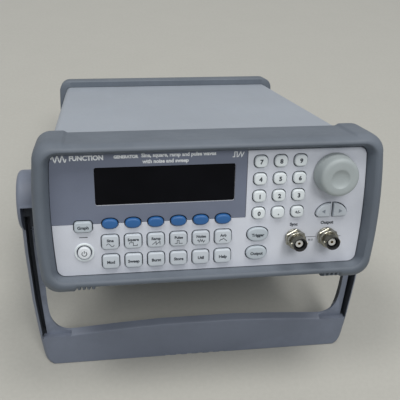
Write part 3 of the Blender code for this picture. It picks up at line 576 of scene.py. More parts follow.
def quarter_outline(half_w, half_h, bulge, radius, pad):
    """Upper right quarter of a frame outline about its centre, with a pad at the corner."""
    pad_edge, pad_drop = pad
    side_top = half_h - radius

    def edge_x(z):
        return half_w - bulge * (z / half_h) ** 2

    points = []
    for step in range(9):
        z = side_top * step / 9.0
        points.append((edge_x(z), z))
    points.extend(arc((edge_x(side_top) - radius, side_top), radius, 0, 90, 12))
    for step in range(7):
        share = step / 6.0
        ease = share * share * (3.0 - 2.0 * share)
        points.append((pad_edge + 1.4 - 3.2 * share, half_h - pad_drop * ease))
    return points


def frame_outline(half_w, top, bottom, bulge, radius, top_pad=PLAIN, foot_pad=PLAIN):
    """Outline of a bumper or panel: bowed sides, round corners, and pads at the corners."""
    centre_z = (top + bottom) / 2.0
    half_h = (top - bottom) / 2.0
    upper = quarter_outline(half_w, half_h, bulge, radius, top_pad)
    lower = quarter_outline(half_w, half_h, bulge, radius, foot_pad)
    upper_right = shifted(upper, (0.0, centre_z))
    lower_right = [(x, centre_z - z) for x, z in reversed(lower)][:-1]
    return upper_right + mirrored(upper_right) + mirrored(lower_right)[1:] + lower_right


def window_outline(inset, top_drop=0.0):
    """Edge of the front panel, drawn in by the inset."""
    top = WINDOW_TOP - inset - top_drop
    return frame_outline(WINDOW_HALF_W - inset, top, WINDOW_BOTTOM + inset, 1.8, 5.5)


def cover_outline(grow):
    """Section of the cover, grown outwards."""
    half_h = COVER_HALF_H + grow
    return frame_outline(COVER_HALF_W + grow, half_h, -half_h, 0.0, COVER_RADIUS + grow)


FUNCTION_KEYS = (
    ("sine_key", "Sine"), ("square_key", "Square"), ("ramp_key", "Ramp"),
    ("pulse_key", "Pulse"), ("noise_key", "Noise"), ("arbitrary_key", "Arb"),
    ("modulation_key", "Mod"), ("sweep_key", "Sweep"), ("burst_key", "Burst"),
    ("store_key", "Store"), ("utility_key", "Util"), ("help_key", "Help"),
)
DIGIT_KEYS = [("key_" + digit, digit) for digit in "7894561230"]
DIGIT_KEYS += [("point_key", "."), ("sign_key", "+/-")]
WORD_KEYS = ("Trigger", "Output", "Graph")


def arrow_outline():
    """Half-moon of the left arrow key: upright right edge, arched top."""
    points = [(4.6, -4.6), (4.6, 4.9)]
    points.extend(arc((4.2, -5.3), 10.2, 98, 150, 12))
    points.extend(arc((-2.8, -2.2), 2.4, 180, 265, 6))
    return points


def oval(width, height, count=40):
    """A squared ellipse."""
    points = []
    for index in range(count):
        angle = 2.0 * math.pi * index / count
        x = math.copysign(abs(math.cos(angle)) ** 0.88, math.cos(angle)) * width / 2.0
        z = math.copysign(abs(math.sin(angle)) ** 0.88, math.sin(angle)) * height / 2.0
        points.append((x, z))
    return points


def key_grid(names, columns, start, pitch, outline):
    """Rows of like keys, from left to right and downwards."""
    keys = []
    for index, name in enumerate(names):
        row, column = divmod(index, columns)
        centre = (start[0] + pitch[0] * column, start[1] - pitch[1] * row)
        keys.append((name, centre, outline))
    return keys


def key_table():
    """Name, centre and outline of every key."""
    soft = ["soft_key_{}".format(index + 1) for index in range(6)]
    function = [name for name, _ in FUNCTION_KEYS]
    digit = [name for name, _ in DIGIT_KEYS]
    soft_shape = oval(*SOFT_KEY_SIZE, 48)
    function_shape = rounded_box(*FUNCTION_KEY_SIZE, 2.4)
    digit_shape = rounded_box(*DIGIT_KEY_SIZE, 2.9)
    keys = key_grid(soft, 6, SOFT_KEY_START, SOFT_KEY_PITCH, soft_shape)
    keys += key_grid(function, 6, FUNCTION_KEY_START, FUNCTION_KEY_PITCH, function_shape)
    keys += key_grid(digit, 3, DIGIT_KEY_START, DIGIT_KEY_PITCH, digit_shape)
    keys.append(("graph_key", (-85.4, -4.8), rounded_box(11.6, 7.2, 2.2)))
    keys.append(("power_key", POWER_KEY, circle(4.3, 48)))
    keys.append(("left_arrow_key", (77.2, -0.4), arrow_outline()))
    keys.append(("right_arrow_key", (88.6, -0.4), mirrored(arrow_outline())))
    keys.append(("trigger_key", (31.8, -15.8), oval(*OVAL_KEY_SIZE)))
    keys.append(("output_key", (31.4, -29.5), oval(*OVAL_KEY_SIZE)))
    return keys


KEYS = key_table()


# ---- Printing


def ribbon(bm, points, width, y, closed=False):
    """A printed line of even width on a plane of constant depth."""
    count = len(points)
    rails = []
    for index in range(count):
        before = Vector(points[index - 1]) if index or closed else None
        after = Vector(points[(index + 1) % count]) if index + 1 < count or closed else None
        here = Vector(points[index])
        first = (here - before).normalized() if before is not None else (after - here).normalized()
        second = (after - here).normalized() if after is not None else first
        normal = Vector((-first.y - second.y, first.x + second.x)).normalized()
        reach = width / 2.0 / max(normal.dot(Vector((-first.y, first.x))), 0.4)
        pair = []
        for side in (1.0, -1.0):
            point = here + normal * reach * side
            pair.append(bm.verts.new((point.x * MM, y * MM, point.y * MM)))
        rails.append(pair)
    pairs = list(zip(rails, rails[1:]))
    if closed:
        pairs.append((rails[-1], rails[0]))
    for start, end in pairs:
        bm.faces.new((start[0], start[1], end[1], end[0]))


def patch(bm, outline, y):
    """A printed filled shape."""
    bm.faces.new([bm.verts.new(point) for point in at_depth(outline, y)])


def lettering(bm, text, size, centre, y, align="CENTER", weight=0.03):
    """Add raised printed characters to a mesh, facing the front."""
    curve = bpy.data.curves.new("lettering", "FONT")
    curve.body = text
    curve.size = size * MM
    curve.align_x = align
    curve.align_y = "CENTER"
    curve.resolution_u = 3
    curve.offset = weight * size * MM
    item = in_scene("lettering", curve)
    mesh = applied_mesh(item)
    stand = Matrix.Translation((centre[0] * MM, y * MM, centre[1] * MM))
    mesh.transform(stand @ Matrix.Rotation(math.radians(90.0), 4, "X"))
    bm.from_mesh(mesh)
    bpy.data.meshes.remove(mesh)
    bpy.data.objects.remove(item, do_unlink=True)
    bpy.data.curves.remove(curve)


def wave(kind, centre, width, height):
    """Points of a small waveform symbol."""
    shapes = {
        "sine_key": [(step / 20.0, math.sin(math.pi * step / 10.0)) for step in range(21)],
        "square_key": [(0, 0), (0, 1), (0.5, 1), (0.5, -1), (1, -1), (1, 0)],
        "ramp_key": [(0, -1), (0.5, 1), (0.5, -1), (1, 1), (1, -1)],
        "pulse_key": [(0, -1), (0.3, -1), (0.3, 1), (0.55, 1), (0.55, -1), (1, -1)],
        "noise_key": [
            (0, 0), (0.12, 0.8), (0.25, -0.9), (0.4, 1),
            (0.52, -0.5), (0.66, 0.7), (0.8, -1), (1, 0.3),
        ],
        "arbitrary_key": [
            (0, -1), (0.2, 0.4), (0.35, 0.1), (0.5, 1), (0.7, 0.2), (0.85, -0.4), (1, -1),
        ],
    }
    left = centre[0] - width / 2.0
    return [(left + u * width, centre[1] + v * height / 2.0) for u, v in shapes[kind]]


# ---- The case


def build_cover():
    """Painted sleeve with turned-in edges and ventilation slots along its sides."""
    outside = cover_outline(0.0)
    inside = cover_outline(-1.2)
    sections = [(outside, COVER_FRONT_Y), (outside, COVER_REAR_Y)]
    sections += [(inside, COVER_REAR_Y), (inside, COVER_FRONT_Y)]
    bm = bmesh.new()
    layered(bm, sections, "JOIN")
    slots = bmesh.new()
    for side in (-1.0, 1.0):
        for row in range(3):
            for column in range(14):
                y = 96.0 + column * 10.0
                z = -24.0 + row * 9.0
                near, far = sorted((side * 103.0, side * 109.0))
                block(slots, (near, y, z), (far, y + 6.5, z + 2.2))
    steps = (("DIFFERENCE", slots),)
    piece("cover_shell", bm, COVER_PAINT, steps=steps, sharp=30.0, replaces=("cover_sleeve",))


def build_front_bumper():
    """Rubber bumper round the panel, with smooth feet, grip ribs and hollows beside the hubs."""
    high = BUMPER_HALF_H
    rows = (
        (33.5, 116.4, high - 0.6, 0.6 - high, 3.0, 10.5, 1.4, 2.8),
        (32.6, 117.0, high, -high, 3.0, 10.5, 1.4, 2.8),
        (22.0, 117.1, high, -high, 3.2, 10.8, 1.4, 2.8),
        (10.0, 117.2, high, -high, 3.4, 11.0, 1.4, 2.8),
        (0.0, 116.9, high, 0.3 - high, 3.6, 12.0, 1.1, 2.8),
        (-4.5, 115.4, high - 1.3, 3.0 - high, 3.6, 12.0, 0.5, 2.4),
        (-7.1, 113.4, high - 2.8, 5.2 - high, 3.4, 12.0, 0.1, 1.2),
        (-7.76, 111.0, high - 4.7, 8.2 - high, 3.0, 11.0, 0.0, 0.4),
        (-6.9, 108.9, high - 5.5, 10.2 - high, 2.6, 9.0, 0.0, 0.0),
    )
    sections = []
    for y, half_w, top, bottom, bulge, radius, top_drop, foot_drop in smooth_rows(rows, 4):
        pads = ((TOP_PAD_X, top_drop), (FOOT_PAD_X, foot_drop))
        sections.append((frame_outline(half_w, top, bottom, bulge, radius, *pads), y))
    for y, inset in ((-1.4, -0.5), (-0.4, 0.0), (5.7, 0.0)):
        sections.append((window_outline(inset), y))
    sections += [(cover_outline(0.3), 5.7), (cover_outline(0.3), 33.5)]
    bm = bmesh.new()
    layered(bm, sections, "JOIN")
    ribs = bmesh.new()
    for side in (-1.0, 1.0):
        for step in range(4):
            x = side * (80.6 + 3.2 * step)
            layered(ribs, [
                (rounded_box(2.3, 4.6, 1.1, 4, (x, -49.4)), 30.0),
                (rounded_box(2.3, 4.6, 1.1, 4, (x, -49.1)), 0.5),
                (rounded_box(2.1, 4.0, 1.0, 4, (x, -47.2)), -4.0),
                (rounded_box(1.4, 3.0, 0.6, 4, (x, -45.8)), -6.4),
            ])
    notch = bmesh.new()
    for side in (-1.0, 1.0):
        near, far = side * 104.0, side * 125.0
        reach = HUB_RADIUS + 0.9
        profile = ((near, 0.0), (near, reach), (far, reach), (far, 0.0))
        turned(notch, profile, "X", 96, (PIVOT_Y, 0.0))
    steps = (("UNION", ribs), ("DIFFERENCE", notch))
    piece("front_bumper_rubber", bm, SLATE, steps=steps, sharp=40.0, replaces=("front_bumper",))


def build_rear_bumper():
    """Rubber bumper round the rear edge, with a bevel that lies flat on the bench."""
    rise = 5.0 * math.tan(TILT)
    rows = (
        (269.0, 1.0, 10.0, 1.4), (269.4, 0.3, 10.0, 1.4), (270.2, 0.0, 10.0, 1.4),
        (287.0, 0.0, 10.0, 1.4), (292.0, rise, 9.0, 1.4), (293.4, rise + 0.9, 8.4, 1.2),
        (294.7, rise + 2.75, 7.2, 1.0), (295.2, rise + 4.15, 6.0, 0.8),
    )
    sections = []
    for y, inset, radius, drop in rows:
        edges = (114.0 - inset, REAR_BUMPER_TOP - inset, inset - BUMPER_HALF_H)
        sections.append((frame_outline(*edges, 1.5, radius, PLAIN, (REAR_PAD_X, drop)), y))
    opening = frame_outline(99.0, 37.0, -37.0, 0.0, 5.0)
    sections += [(grown(opening, 1.0), 295.2), (opening, 294.4), (opening, 289.3)]
    sections += [(cover_outline(0.3), 289.3), (cover_outline(0.3), 269.0)]
    bm = bmesh.new()
    layered(bm, sections, "JOIN")
    piece("rear_bumper_rubber", bm, SLATE, sharp=28.0, replaces=("rear_bumper",))


def display_outline():
    """Edge of the opening for the display."""
    return rounded_box(*DISPLAY_SIZE, 1.5, 8, DISPLAY_CENTRE)


def build_panel():
    """Moulded front panel with a sloped upper lip and a well round each key."""
    skirt_outside = frame_outline(103.4, 41.5, -39.8, 0.0, 5.0)
    skirt_inside = frame_outline(102.4, 40.5, -38.8, 0.0, 4.0)
    bm = bmesh.new()
    layered(bm, [
        (window_outline(0.6, 0.1), 0.0), (window_outline(0.35), 0.8), (window_outline(0.3), 5.4),
        (skirt_outside, 5.4), (skirt_outside, 13.0), (skirt_inside, 13.0), (skirt_inside, 2.8),
    ])
    recess = bmesh.new()
    block(recess, (-116.0, -1.0, OVERLAY_BOTTOM - 0.3), (OVERLAY_RIGHT + 0.3, 1.2, 52.0))
    holes = bmesh.new()
    for _, centre, outline in KEYS:
        prism(holes, shifted(grown(outline, KEY_CLEARANCE), centre), -2.0, 4.8)
    prism(holes, display_outline(), -2.0, 5.0)
    prism(holes, circle(3.3, 32, KNOB_AXIS), -2.0, 5.0)
    for centre in (SYNC_AXIS, OUTPUT_AXIS):
        prism(holes, circle(4.9, 32, centre), -2.0, 5.0)
    steps = (("DIFFERENCE", recess), ("DIFFERENCE", holes))
    piece("front_panel_moulding", bm, PANEL, steps=steps, bevel=0.22, replaces=("front_bezel",))


def build_overlay():
    """Dark film around the display, and the display's window."""
    bm = bmesh.new()
    prism(bm, window_outline(0.3), FILM_FRONT_Y, FILM_FRONT_Y + 0.5)
    region = bmesh.new()
    block(region, (-116.0, -1.0, OVERLAY_BOTTOM), (OVERLAY_RIGHT, 2.0, 52.0))
    holes = bmesh.new()
    for name, centre, outline in KEYS:
        if name.startswith("soft_key") or name == "graph_key":
            prism(holes, shifted(grown(outline, KEY_CLEARANCE), centre), -1.0, 2.0)
    prism(holes, display_outline(), -1.0, 2.0)
    steps = (("INTERSECT", region), ("DIFFERENCE", holes))
    piece("overlay_film", bm, OVERLAY, steps=steps, bevel=0.12, replaces=("display_overlay",))
    bm = bmesh.new()
    outer = grown(display_outline(), -0.1)
    layered(bm, [(outer, 3.2), (outer, 1.9), (grown(outer, -0.25), 1.7)])
    piece("display_glass", bm, DISPLAY, replaces=("display_window",))
    bm = bmesh.new()
    ribbon(bm, grown(outer, -1.1), 1.3, 1.66, closed=True)
    piece("display_mask", bm, DISPLAY)


def build_print():
    """Legends printed on the overlay and on the panel."""
    bm = bmesh.new()
    film = FILM_FRONT_Y - INK_LIFT
    sine = []
    for step in range(37):
        share = step / 36.0
        sine.append((-102.8 + 9.2 * share, 40.9 + 1.9 * math.sin(6.0 * math.pi * share)))
    ribbon(bm, sine, 0.8, film)
    lettering(bm, "FUNCTION", 4.2, (-91.8, 41.0), film, "LEFT", 0.05)
    lettering(bm, "GENERATOR", 2.65, (-63.9, 41.2), film, "LEFT", 0.07)
    lettering(bm, "Sine, square, ramp and pulse waves", 3.4, (-46.4, 41.7), film, "LEFT", 0.045)
    lettering(bm, "with noise and sweep", 3.4, (-45.6, 37.7), film, "LEFT", 0.045)
    low, high = 39.0, 42.2
    step = [(12.9, low), (14.2, low), (14.2, high), (15.8, high), (15.8, low), (16.6, low)]
    ribbon(bm, step, 0.6, film)
    ribbon(bm, [(16.6, low), (18.2, high), (18.9, low), (20.5, high)], 0.6, film)
    piece("overlay_print", bm, INK_WHITE)
    bm = bmesh.new()
    face = -INK_LIFT
    lettering(bm, "Sync", 3.0, (57.2, -10.2), face, weight=0.05)
    lettering(bm, "Output", 3.0, (80.8, -9.9), face, weight=0.05)
    ribbon(bm, [(66.2, -20.0), (73.6, -20.0)], 0.35, face)
    lettering(bm, "50 Ω", 1.7, (70.0, -22.4), face)
    ribbon(bm, [(88.2, -20.4), (91.6, -20.4)], 0.35, face)
    ribbon(bm, [(-88.3, -12.6), (-82.8, -12.6)], 0.5, face)
    piece("panel_print", bm, INK_DARK)


# ---- Controls


def key_finish(name):
    """Cap material of a key, and the dark skirt material that paints the shade in the gap round
    it.
    """
    if name.startswith("soft_key"):
        return KEY_BLUE, BLUE_GAP_SHADE
    if name == "power_key":
        return POWER_PAINTED_GLOW, KEY_GAP_SHADE
    if name in ("graph_key", "trigger_key", "output_key"):
        return SHADED_GREY, KEY_GAP_SHADE
    if name in [key for key, _ in DIGIT_KEYS]:
        return KEY_GREY, KEY_GAP_SHADE
    return FUNCTION_GREY, KEY_GAP_SHADE


def build_key(name, centre, outline):
    """One key: rounded cap, skirt in the panel darkened as painted shade of the gap, and the
    flange behind.
    """
    place = case_place(centre)
    cap_material, skirt_shade_material = key_finish(name)
    roll = 1.2 if name.startswith("soft_key") else 0.9
    flange = grown(outline, KEY_FLANGE)
    sections = [(flange, KEY_BACK_Y), (flange, KEY_FLANGE_Y)]
    sections += [(outline, KEY_FLANGE_Y), (outline, 0.6)]
    for step in range(7):
        angle = math.radians(90.0 * step / 6.0)
        inset = roll * (1.0 - math.cos(angle))
        y = KEY_FRONT + roll - roll * math.sin(angle)
        sections.append((grown(outline, -inset), y))
    bm = bmesh.new()
    layered(bm, sections)
    body = name + "_body"
    cap = piece(name + "_cap", bm, cap_material, body, place, sharp=50.0, replaces=(name,))
    cap.data.materials.append(skirt_shade_material)
    # Faces behind the panel front take the skirt material, painted shade in the gap round the cap.
    panel_space = CASE.inverted()
    for face in cap.data.polygons:
        if (panel_space @ face.center).y > 0.55 * MM:
            face.material_index = 1
    return place


def legend(name, bm, material, place):
    """The printing on a key, which moves with it."""
    piece(name + "_legend", bm, material, name + "_body", place)


def build_keys():
    """All keys with their legends, and the ring round the power key."""
    places = {}
    for name, centre, outline in KEYS:
        places[name] = build_key(name, centre, outline)
    face = KEY_FRONT - INK_LIFT
    waves = FUNCTION_KEYS[:6]
    labels = [(key, 4.0 if len(key[1]) == 1 else 3.2, -0.1, 0.05) for key in DIGIT_KEYS]
    labels += [(key, 2.7, 1.4, 0.045) for key in waves]
    labels += [(key, 2.9, -0.2, 0.045) for key in FUNCTION_KEYS[6:]]
    labels += [((text.lower() + "_key", text), 2.9, -0.3, 0.045) for text in WORD_KEYS]
    for (name, text), size, height, weight in labels:
        bm = bmesh.new()
        lettering(bm, text, size, (0.0, height), face, weight=weight)
        if (name, text) in waves:
            ribbon(bm, wave(name, (0.0, -1.7), 5.2, 2.2), 0.42, face)
        legend(name, bm, INK_DARK, places[name])
    for name, side in (("left_arrow_key", -1.0), ("right_arrow_key", 1.0)):
        bm = bmesh.new()
        triangle = [(1.0 + side * 1.6, -0.6), (1.0 - side * 0.9, 0.9), (1.0 - side * 0.9, -2.1)]
        patch(bm, shifted(triangle, (-1.0, 0.0)), face)
        legend(name, bm, INK_GREY, places[name])
    bm = bmesh.new()
    ribbon(bm, arc((0.0, -0.2), 1.6, 125.0, 415.0, 28), 0.5, face)
    ribbon(bm, [(0.0, 0.1), (0.0, 2.0)], 0.5, face)
    legend("power_key", bm, INK_DARK, places["power_key"])
    bm = bmesh.new()
    profile = ((0.3, 5.2), (-0.5, 5.3), (-0.8, 5.6), (-0.8, 6.3), (-0.5, 6.6), (0.3, 6.7))
    turned(bm, profile, "Y", 64, POWER_KEY, closed=True)
    piece("power_key_ring", bm, KEY_GREY)


def build_knob():
    """Tuning knob with rolled edges and an off-centre finger dimple."""
    front = -13.0
    rows = (
        (front + 1.55, 0.6, 1.0), (front + 1.46, 2.2, 1.0), (front + 1.18, 4.0, 1.0),
        (front + 0.66, 5.4, 1.0), (front + 0.18, 6.2, 0.9), (front, 6.9, 0.6),
        (front + 0.02, 9.6, 0.0), (front + 0.18, 11.0, 0.0), (front + 0.7, 12.1, 0.0),
        (front + 1.8, 12.9, 0.0), (front + 4.0, 13.3, 0.0), (-4.0, 13.8, 0.0),
        (-1.6, 14.0, 0.0),
    )
    sections = []
    for y, radius, share in smooth_rows(rows, 4):
        sections.append((circle(radius, 96, (0.0, -0.9 * share)), y))
    for y, radius in ((-1.1, 14.2), (-0.7, 14.2), (-0.6, 14.0), (-0.6, 3.0), (11.5, 3.0)):
        sections.append((circle(radius, 96), y))
    bm = bmesh.new()
    layered(bm, sections)
    place = case_place(KNOB_AXIS)
    piece("tuning_knob_moulding", bm, KNOB, "knob", place, sharp=50.0, replaces=("tuning_knob",))


def build_coax(name, axis, face_y, facing, node, barrel_material):
    """Panel coaxial connector: washer, nut, shell, bayonet barrel, insulator and contact."""
    place = case_place(axis, face_y)

    def ring(part, profile, material, count=64, replaces=()):
        bm = bmesh.new()
        outwards = [(along * facing, radius) for along, radius in profile]
        turned(bm, outwards, "Y", count, closed=True)
        piece(part, bm, material, place=place, replaces=replaces)

    shell = (
        (-9.5, 0.2), (-9.5, 4.6), (0.3, 4.6), (0.3, 6.2), (0.5, 6.4), (1.3, 6.4), (1.5, 6.2),
        (1.6, 5.9), (5.6, 5.9), (5.8, 6.2), (7.6, 6.3), (8.0, 6.0), (8.0, 4.7), (8.6, 4.5),
        (8.6, 0.2),
    )
    ring(name + "_shell", shell, NICKEL, replaces=(node,))
    bm = bmesh.new()
    hexagon = circle(7.3, 6)
    chamfered = grown(hexagon, -0.35)
    layered(bm, [
        (chamfered, facing * 1.7), (hexagon, facing * 2.1),
        (hexagon, facing * 4.0), (chamfered, facing * 4.4),
    ])
    piece(name + "_nut", bm, NICKEL, place=place, sharp=25.0)
    barrel = (
        (8.3, 4.0), (8.3, 4.8), (8.6, 4.9), (14.1, 4.9), (14.5, 4.7), (14.5, 4.2), (14.2, 4.0),
    )
    ring(name + "_barrel", barrel, barrel_material)
    bm = bmesh.new()
    for side in (-1.0, 1.0):
        profile = ((4.6, 0.0), (4.6, 1.0), (5.7, 1.0), (5.9, 0.8), (5.9, 0.0))
        lug = [(side * along, radius) for along, radius in profile]
        turned(bm, lug, "X", 24, (facing * 11.6, 0.0))
    piece(name + "_lugs", bm, NICKEL, place=place)
    insulator = ((8.4, 1.0), (8.4, 2.7), (11.6, 2.7), (11.9, 2.5), (11.9, 1.1), (11.7, 0.95))
    ring(name + "_insulator", insulator, INSULATOR)
    contact = ((8.4, 0.55), (8.4, 0.95), (11.7, 0.95), (11.7, 0.7), (11.5, 0.55))
    ring(name + "_contact", contact, GOLD, 24)
    # Black lining inside the barrel: painted shade for the hollow between barrel and insulator.
    painted_shade_lining = (
        (8.7, 2.8), (8.7, 3.95), (14.1, 3.95), (14.62, 4.25), (14.62, 4.6),
        (14.66, 4.6), (14.66, 4.1), (13.9, 3.7), (9.0, 3.7), (9.0, 2.8),
    )
    ring(name + "_painted_shade_lining", painted_shade_lining, BLACK)


# ---- Handle


def handle_section(y, outer_inset, foot_inset, crease_drop, inner_inset):
    """One section of the handle's hoop, seen from the front, and its depth."""
    outer = [(HUB_OUTER_X, 0.0), (HUB_OUTER_X, -40.0)]
    sides = [
        (1.4, -80.0), (4.0, -112.0), (5.8, -127.0), (6.9, -134.0), (8.3, -137.6),
        (11.3, HANDLE_FOOT_Z),
    ]
    outer += smooth_rows([(HUB_OUTER_X - inset, z) for inset, z in sides], 4)
    outer += [(60.0, HANDLE_FOOT_Z), (30.0, HANDLE_FOOT_Z)]
    inner = [(30.0, -107.9), (62.0, -109.5)]
    corner = [
        (92.0, -111.6), (103.0, -112.0), (110.0, -109.0), (114.8, -102.6), (117.2, -93.0),
        (ARM_INNER_X, -80.0),
    ]
    inner += smooth_rows(corner, 5)
    inner += [(ARM_INNER_X, -40.0), (ARM_INNER_X, 0.0)]
    points = []
    for x, z in outer:
        share = min(max((-z - 126.0) / (-HANDLE_FOOT_Z - 126.0), 0.0), 1.0)
        lowered = max(z, HANDLE_FOOT_Z) + (HANDLE_FOOT_SLOPE * y + foot_inset) * share
        shrink = outer_inset if x > 60.0 else 0.0
        points.append((x - shrink, lowered))
    arm_draft = 4.4 * max(y - RIB_FRONT_Y, 0.0) / (HALF_DEPTH - RIB_FRONT_Y)
    bar_draft = 12.0 * max(y + 3.2, 0.0) / (HALF_DEPTH + 3.2)
    hole = []
    for x, z in inner:
        share = min(max((-z - 90.0) / 17.0, 0.0), 1.0)
        arm_share = min(max((x - 92.0) / 18.0, 0.0), 1.0)
        widened = x + arm_draft * arm_share + inner_inset * (1.0 - share)
        hole.append((widened, z - (crease_drop + bar_draft + inner_inset) * share))
    return points + mirrored(points) + mirrored(hole) + hole, y


def skirt_x(z):
    """Inner face of the thin wall along an arm's outer edge."""
    skirt = HUB_OUTER_X - SKIRT_THICK
    if z > -40.0:
        return skirt
    if z > -80.0:
        return skirt - 1.2 * (-z - 40.0) / 40.0
    return skirt - 1.2 - 2.8 * (-z - 80.0) / 35.0


def arm_strip(side, inner, top, bottom):
    """Outline of a channel along an arm, from its inner edge to the thin outer wall."""
    heights = [top, -40.0, -60.0, -80.0, -92.0, -104.0, bottom]
    outline = [(skirt_x(z), z) for z in heights] + inner
    return [(side * x, z) for x, z in outline]


def build_handle():
    """Swinging handle: hubs with rolled rims, channelled arms and the grip bar with its ribs."""
    rows = (
        (-HALF_DEPTH, 3.4, 1.0, 3.0, 0.8),
        (-HALF_DEPTH + 0.25, 2.9, 0.5, 2.6, 0.35),
        (-HALF_DEPTH + 0.9, 2.1, 0.1, 2.25, 0.05),
        (-HALF_DEPTH + 1.6, 1.4, 0.0, 1.95, 0.0),
        (-HALF_DEPTH + 2.5, 0.7, 0.0, 1.5, 0.0),
        (-HALF_DEPTH + 3.6, 0.2, 0.0, 0.95, 0.0),
        (-3.8, 0.0, 0.0, 0.15, 0.0),
        (-3.2, 0.0, 0.0, 0.0, 0.0),
        (HALF_DEPTH - 1.2, 0.0, 0.0, 0.0, 0.0),
        (HALF_DEPTH - 0.4, 0.25, 0.25, 0.2, 0.2),
        (HALF_DEPTH, 1.0, 1.0, 0.8, 0.8),
    )
    bm = bmesh.new()
    layered(bm, [handle_section(*row) for row in rows])
    hubs, cavities, relief, groove, hollow, ribs = [bmesh.new() for _ in range(6)]
    for side in (-1.0, 1.0):
        disc = [(side * HUB_INNER_X, 0.0), (side * HUB_INNER_X, HUB_RADIUS - 0.8)]
        disc.append((side * (HUB_INNER_X + 0.8), HUB_RADIUS))
        disc.append((side * (HUB_OUTER_X - HUB_ROLL), HUB_RADIUS))
        for step in range(1, 7):
            angle = math.radians(90.0 * step / 6.0)
            along = HUB_OUTER_X - HUB_ROLL + HUB_ROLL * math.sin(angle)
            disc.append((side * along, HUB_RADIUS - HUB_ROLL * (1.0 - math.cos(angle))))
        disc.append((side * HUB_OUTER_X, HUB_RADIUS - 6.2))
        disc.append((side * (HUB_OUTER_X - 0.7), HUB_RADIUS - 7.0))
        disc.append((side * (HUB_OUTER_X - 0.7), 0.0))
        turned(hubs, disc, "X", 96)
        mouth = side * (HUB_INNER_X - 2.0)
        shoulder = side * (ARM_INNER_X + 1.0)
        end = side * (HUB_OUTER_X - 3.2)
        cavity = [(mouth, 0.0), (mouth, 15.5), (shoulder, 15.5)]
        cavity += [(shoulder, 6.5), (end, 6.5), (end, 0.0)]
        turned(cavities, cavity, "X", 48)
        inner = [(101.5, RELIEF_BOTTOM), (101.5, -100.0), (115.0, -78.0), (115.0, RELIEF_TOP)]
        shallow = arm_strip(side, inner, RELIEF_TOP, RELIEF_BOTTOM)
        prism(relief, shallow, -HALF_DEPTH - 2.0, RIB_FRONT_Y)
        inner = [(120.6, GROOVE_BOTTOM), (122.4, -80.0), (123.6, -40.0), (123.6, GROOVE_TOP)]
        deep = arm_strip(side, inner, GROOVE_TOP, GROOVE_BOTTOM)
        prism(groove, deep, -HUB_RADIUS - 3.0, GROOVE_REAR_Y)
        near, far = sorted((side * 119.8, side * (HUB_OUTER_X - 2.5)))
        block(hollow, (near, -HUB_RADIUS - 2.0, -17.8), (far, GROOVE_TOP, 3.5))
    for step in range(6):
        x = -27.0 + 9.0 * step
        foot = HANDLE_FOOT_Z - HANDLE_FOOT_SLOPE * HALF_DEPTH
        low = (x, -HALF_DEPTH - 1.0, foot - 1.0)
        block(ribs, low, (x + 4.0, -HALF_DEPTH + 1.0, foot + 2.6))
    steps = [("UNION", hubs)]
    steps += [("DIFFERENCE", cutter) for cutter in (relief, groove, hollow, cavities, ribs)]
    moulding = piece(
        "carry_handle_moulding", bm, HANDLE_SLATE, "handle", HANDLE, steps,
        bevel=0.35, sharp=32.0, replaces=("carry_handle",),
    )
    # Faces inside the arms' channels take the dark channel material, painted shade in the grooves.
    moulding.data.materials.append(CHANNEL_SHADE)
    handle_space = HANDLE.inverted()
    for face in moulding.data.polygons:
        centre = (handle_space @ face.center) / MM
        wall = skirt_x(centre.z)
        in_width = wall - 7.0 < abs(centre.x) < wall + 0.2
        in_depth = -8.9 < centre.y < GROOVE_REAR_Y + 0.2
        in_height = GROOVE_BOTTOM - 0.3 < centre.z < 3.6
        on_step = abs(centre.y - RIB_FRONT_Y) <= 0.1
        if in_width and in_depth and in_height and not on_step:
            face.material_index = 1


# ---- Rear


def build_rear():
    """Screws and ground post on the rear panel."""
    screw = (
        (-1.0, 0.0), (-1.0, 1.4), (0.05, 1.4), (0.05, 3.0),
        (0.8, 2.9), (1.4, 2.3), (1.7, 1.4), (1.8, 0.0),
    )
    centres = ((-98.0, 34.0), (98.0, 34.0), (-98.0, -34.0), (98.0, -34.0), (22.0, 34.0))
    for index, centre in enumerate(centres):
        bm = bmesh.new()
        turned(bm, screw, "Y", 40)
        slots = []
        for half_x, half_z in ((1.7, 0.3), (0.3, 1.7)):
            slot = bmesh.new()
            block(slot, (-half_x, 1.0, -half_z), (half_x, 2.4, half_z))
            slots.append(("DIFFERENCE", slot))
        place = case_place(centre, REAR_FACE_Y)
        piece("rear_screw_{}".format(index + 1), bm, NICKEL, place=place, steps=slots, sharp=30.0)
    post = (
        (-1.0, 0.0), (-1.0, 2.0), (0.05, 2.0), (0.05, 4.2), (2.0, 4.2),
        (2.4, 2.0), (7.0, 2.0), (7.4, 1.5), (7.4, 0.0),
    )
    bm = bmesh.new()
    turned(bm, post, "Y", 6)
    piece("ground_post", bm, NICKEL, place=case_place((66.0, -26.0), REAR_FACE_Y), sharp=20.0)


# ---- Carried-over nodes


def finish_nodes():
    """Materials of the CAD nodes that stay."""
    hubs = ("left_pivot_hub", "right_pivot_hub")
    black = ("display_module", "rotary_encoder", *hubs, "fan_frame", "fan_rotor", "power_inlet")
    chosen = {name: BLACK for name in black}
    chosen.update(chassis_tray=STEEL, power_supply=STEEL, rear_panel=COVER_PAINT)
    chosen.update(keypad_board=BOARD, main_board=BOARD)
    for name, material in chosen.items():
        item = bpy.data.objects[name]
        item.data.materials.clear()
        item.data.materials.append(material)
        add_bevel(item, 0.25, 40.0)


# ---- Stage


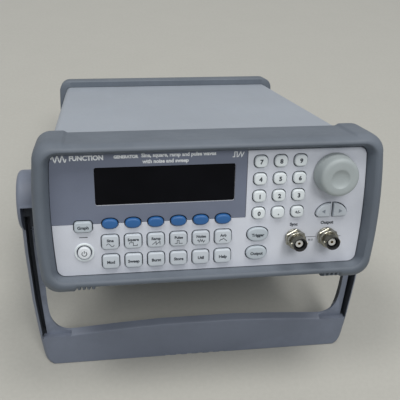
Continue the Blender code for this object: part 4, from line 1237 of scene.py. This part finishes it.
def build_stage():
    """Plain pale floor, soft light and the camera."""
    floor = moulded("floor_matte", linear(174, 173, 166), 0.75, 300.0, 0.00005, 0.15, cloudy=0.008)
    bm = bmesh.new()
    reach = 6.0
    corners = ((-reach, -reach), (reach, -reach), (reach, reach), (-reach, reach))
    bm.faces.new([bm.verts.new((x, y, 0.0)) for x, y in corners])
    mesh = bpy.data.meshes.new("floor")
    bm.to_mesh(mesh)
    bm.free()
    mesh.materials.append(floor)
    in_scene("floor", mesh)

    world = bpy.data.worlds.new("studio")
    bpy.context.scene.world = world
    world.use_nodes = True
    background = world.node_tree.nodes["Background"]
    background.inputs["Color"].default_value = linear(232, 236, 242)
    background.inputs["Strength"].default_value = 0.42

    for name, place, aim_height, power in (
        ("left_light", (-1.1, -0.2, 2.8), 0.0, 27.0),
        ("right_light", (0.7, -0.1, 2.9), 0.0, 26.0),
        ("front_light", (0.6, -1.8, 2.5), 0.05, 26.0),
    ):
        lamp = bpy.data.lights.new(name, "AREA")
        lamp.shape = "DISK"
        lamp.size = 1.0
        lamp.energy = power
        lamp.color = (1.0, 0.985, 0.96)
        light = in_scene(name, lamp)
        light.location = place
        aim = Vector((0.0, 0.0, aim_height)) - Vector(place)
        light.rotation_euler = aim.to_track_quat("-Z", "Y").to_euler()

    data = bpy.data.cameras.new("camera")
    data.lens = 53.14
    data.sensor_width = 36.0
    data.shift_x = 0.0501
    data.shift_y = 0.0265
    data.clip_start = 0.01
    camera = in_scene("camera", data)
    camera.location = (-0.0689, -0.4228, 0.4117)
    camera.rotation_euler = [math.radians(angle) for angle in (48.699, -2.761, -6.851)]
    bpy.context.scene.camera = camera
    bpy.context.scene.view_settings.view_transform = "Standard"


build_cover()
build_front_bumper()
build_rear_bumper()
build_panel()
build_overlay()
build_print()
build_keys()
build_knob()
build_coax("sync_coax", SYNC_AXIS, 0.0, -1.0, "sync_connector", DARK_NICKEL)
build_coax("output_coax", OUTPUT_AXIS, 0.0, -1.0, "output_connector", DARK_NICKEL)
build_coax("modulation_coax", MODULATION_AXIS, REAR_FACE_Y, 1.0, "modulation_connector", NICKEL)
build_coax("trigger_coax", REAR_TRIGGER_AXIS, REAR_FACE_Y, 1.0, "trigger_connector", NICKEL)
build_handle()
build_rear()
finish_nodes()
build_stage()
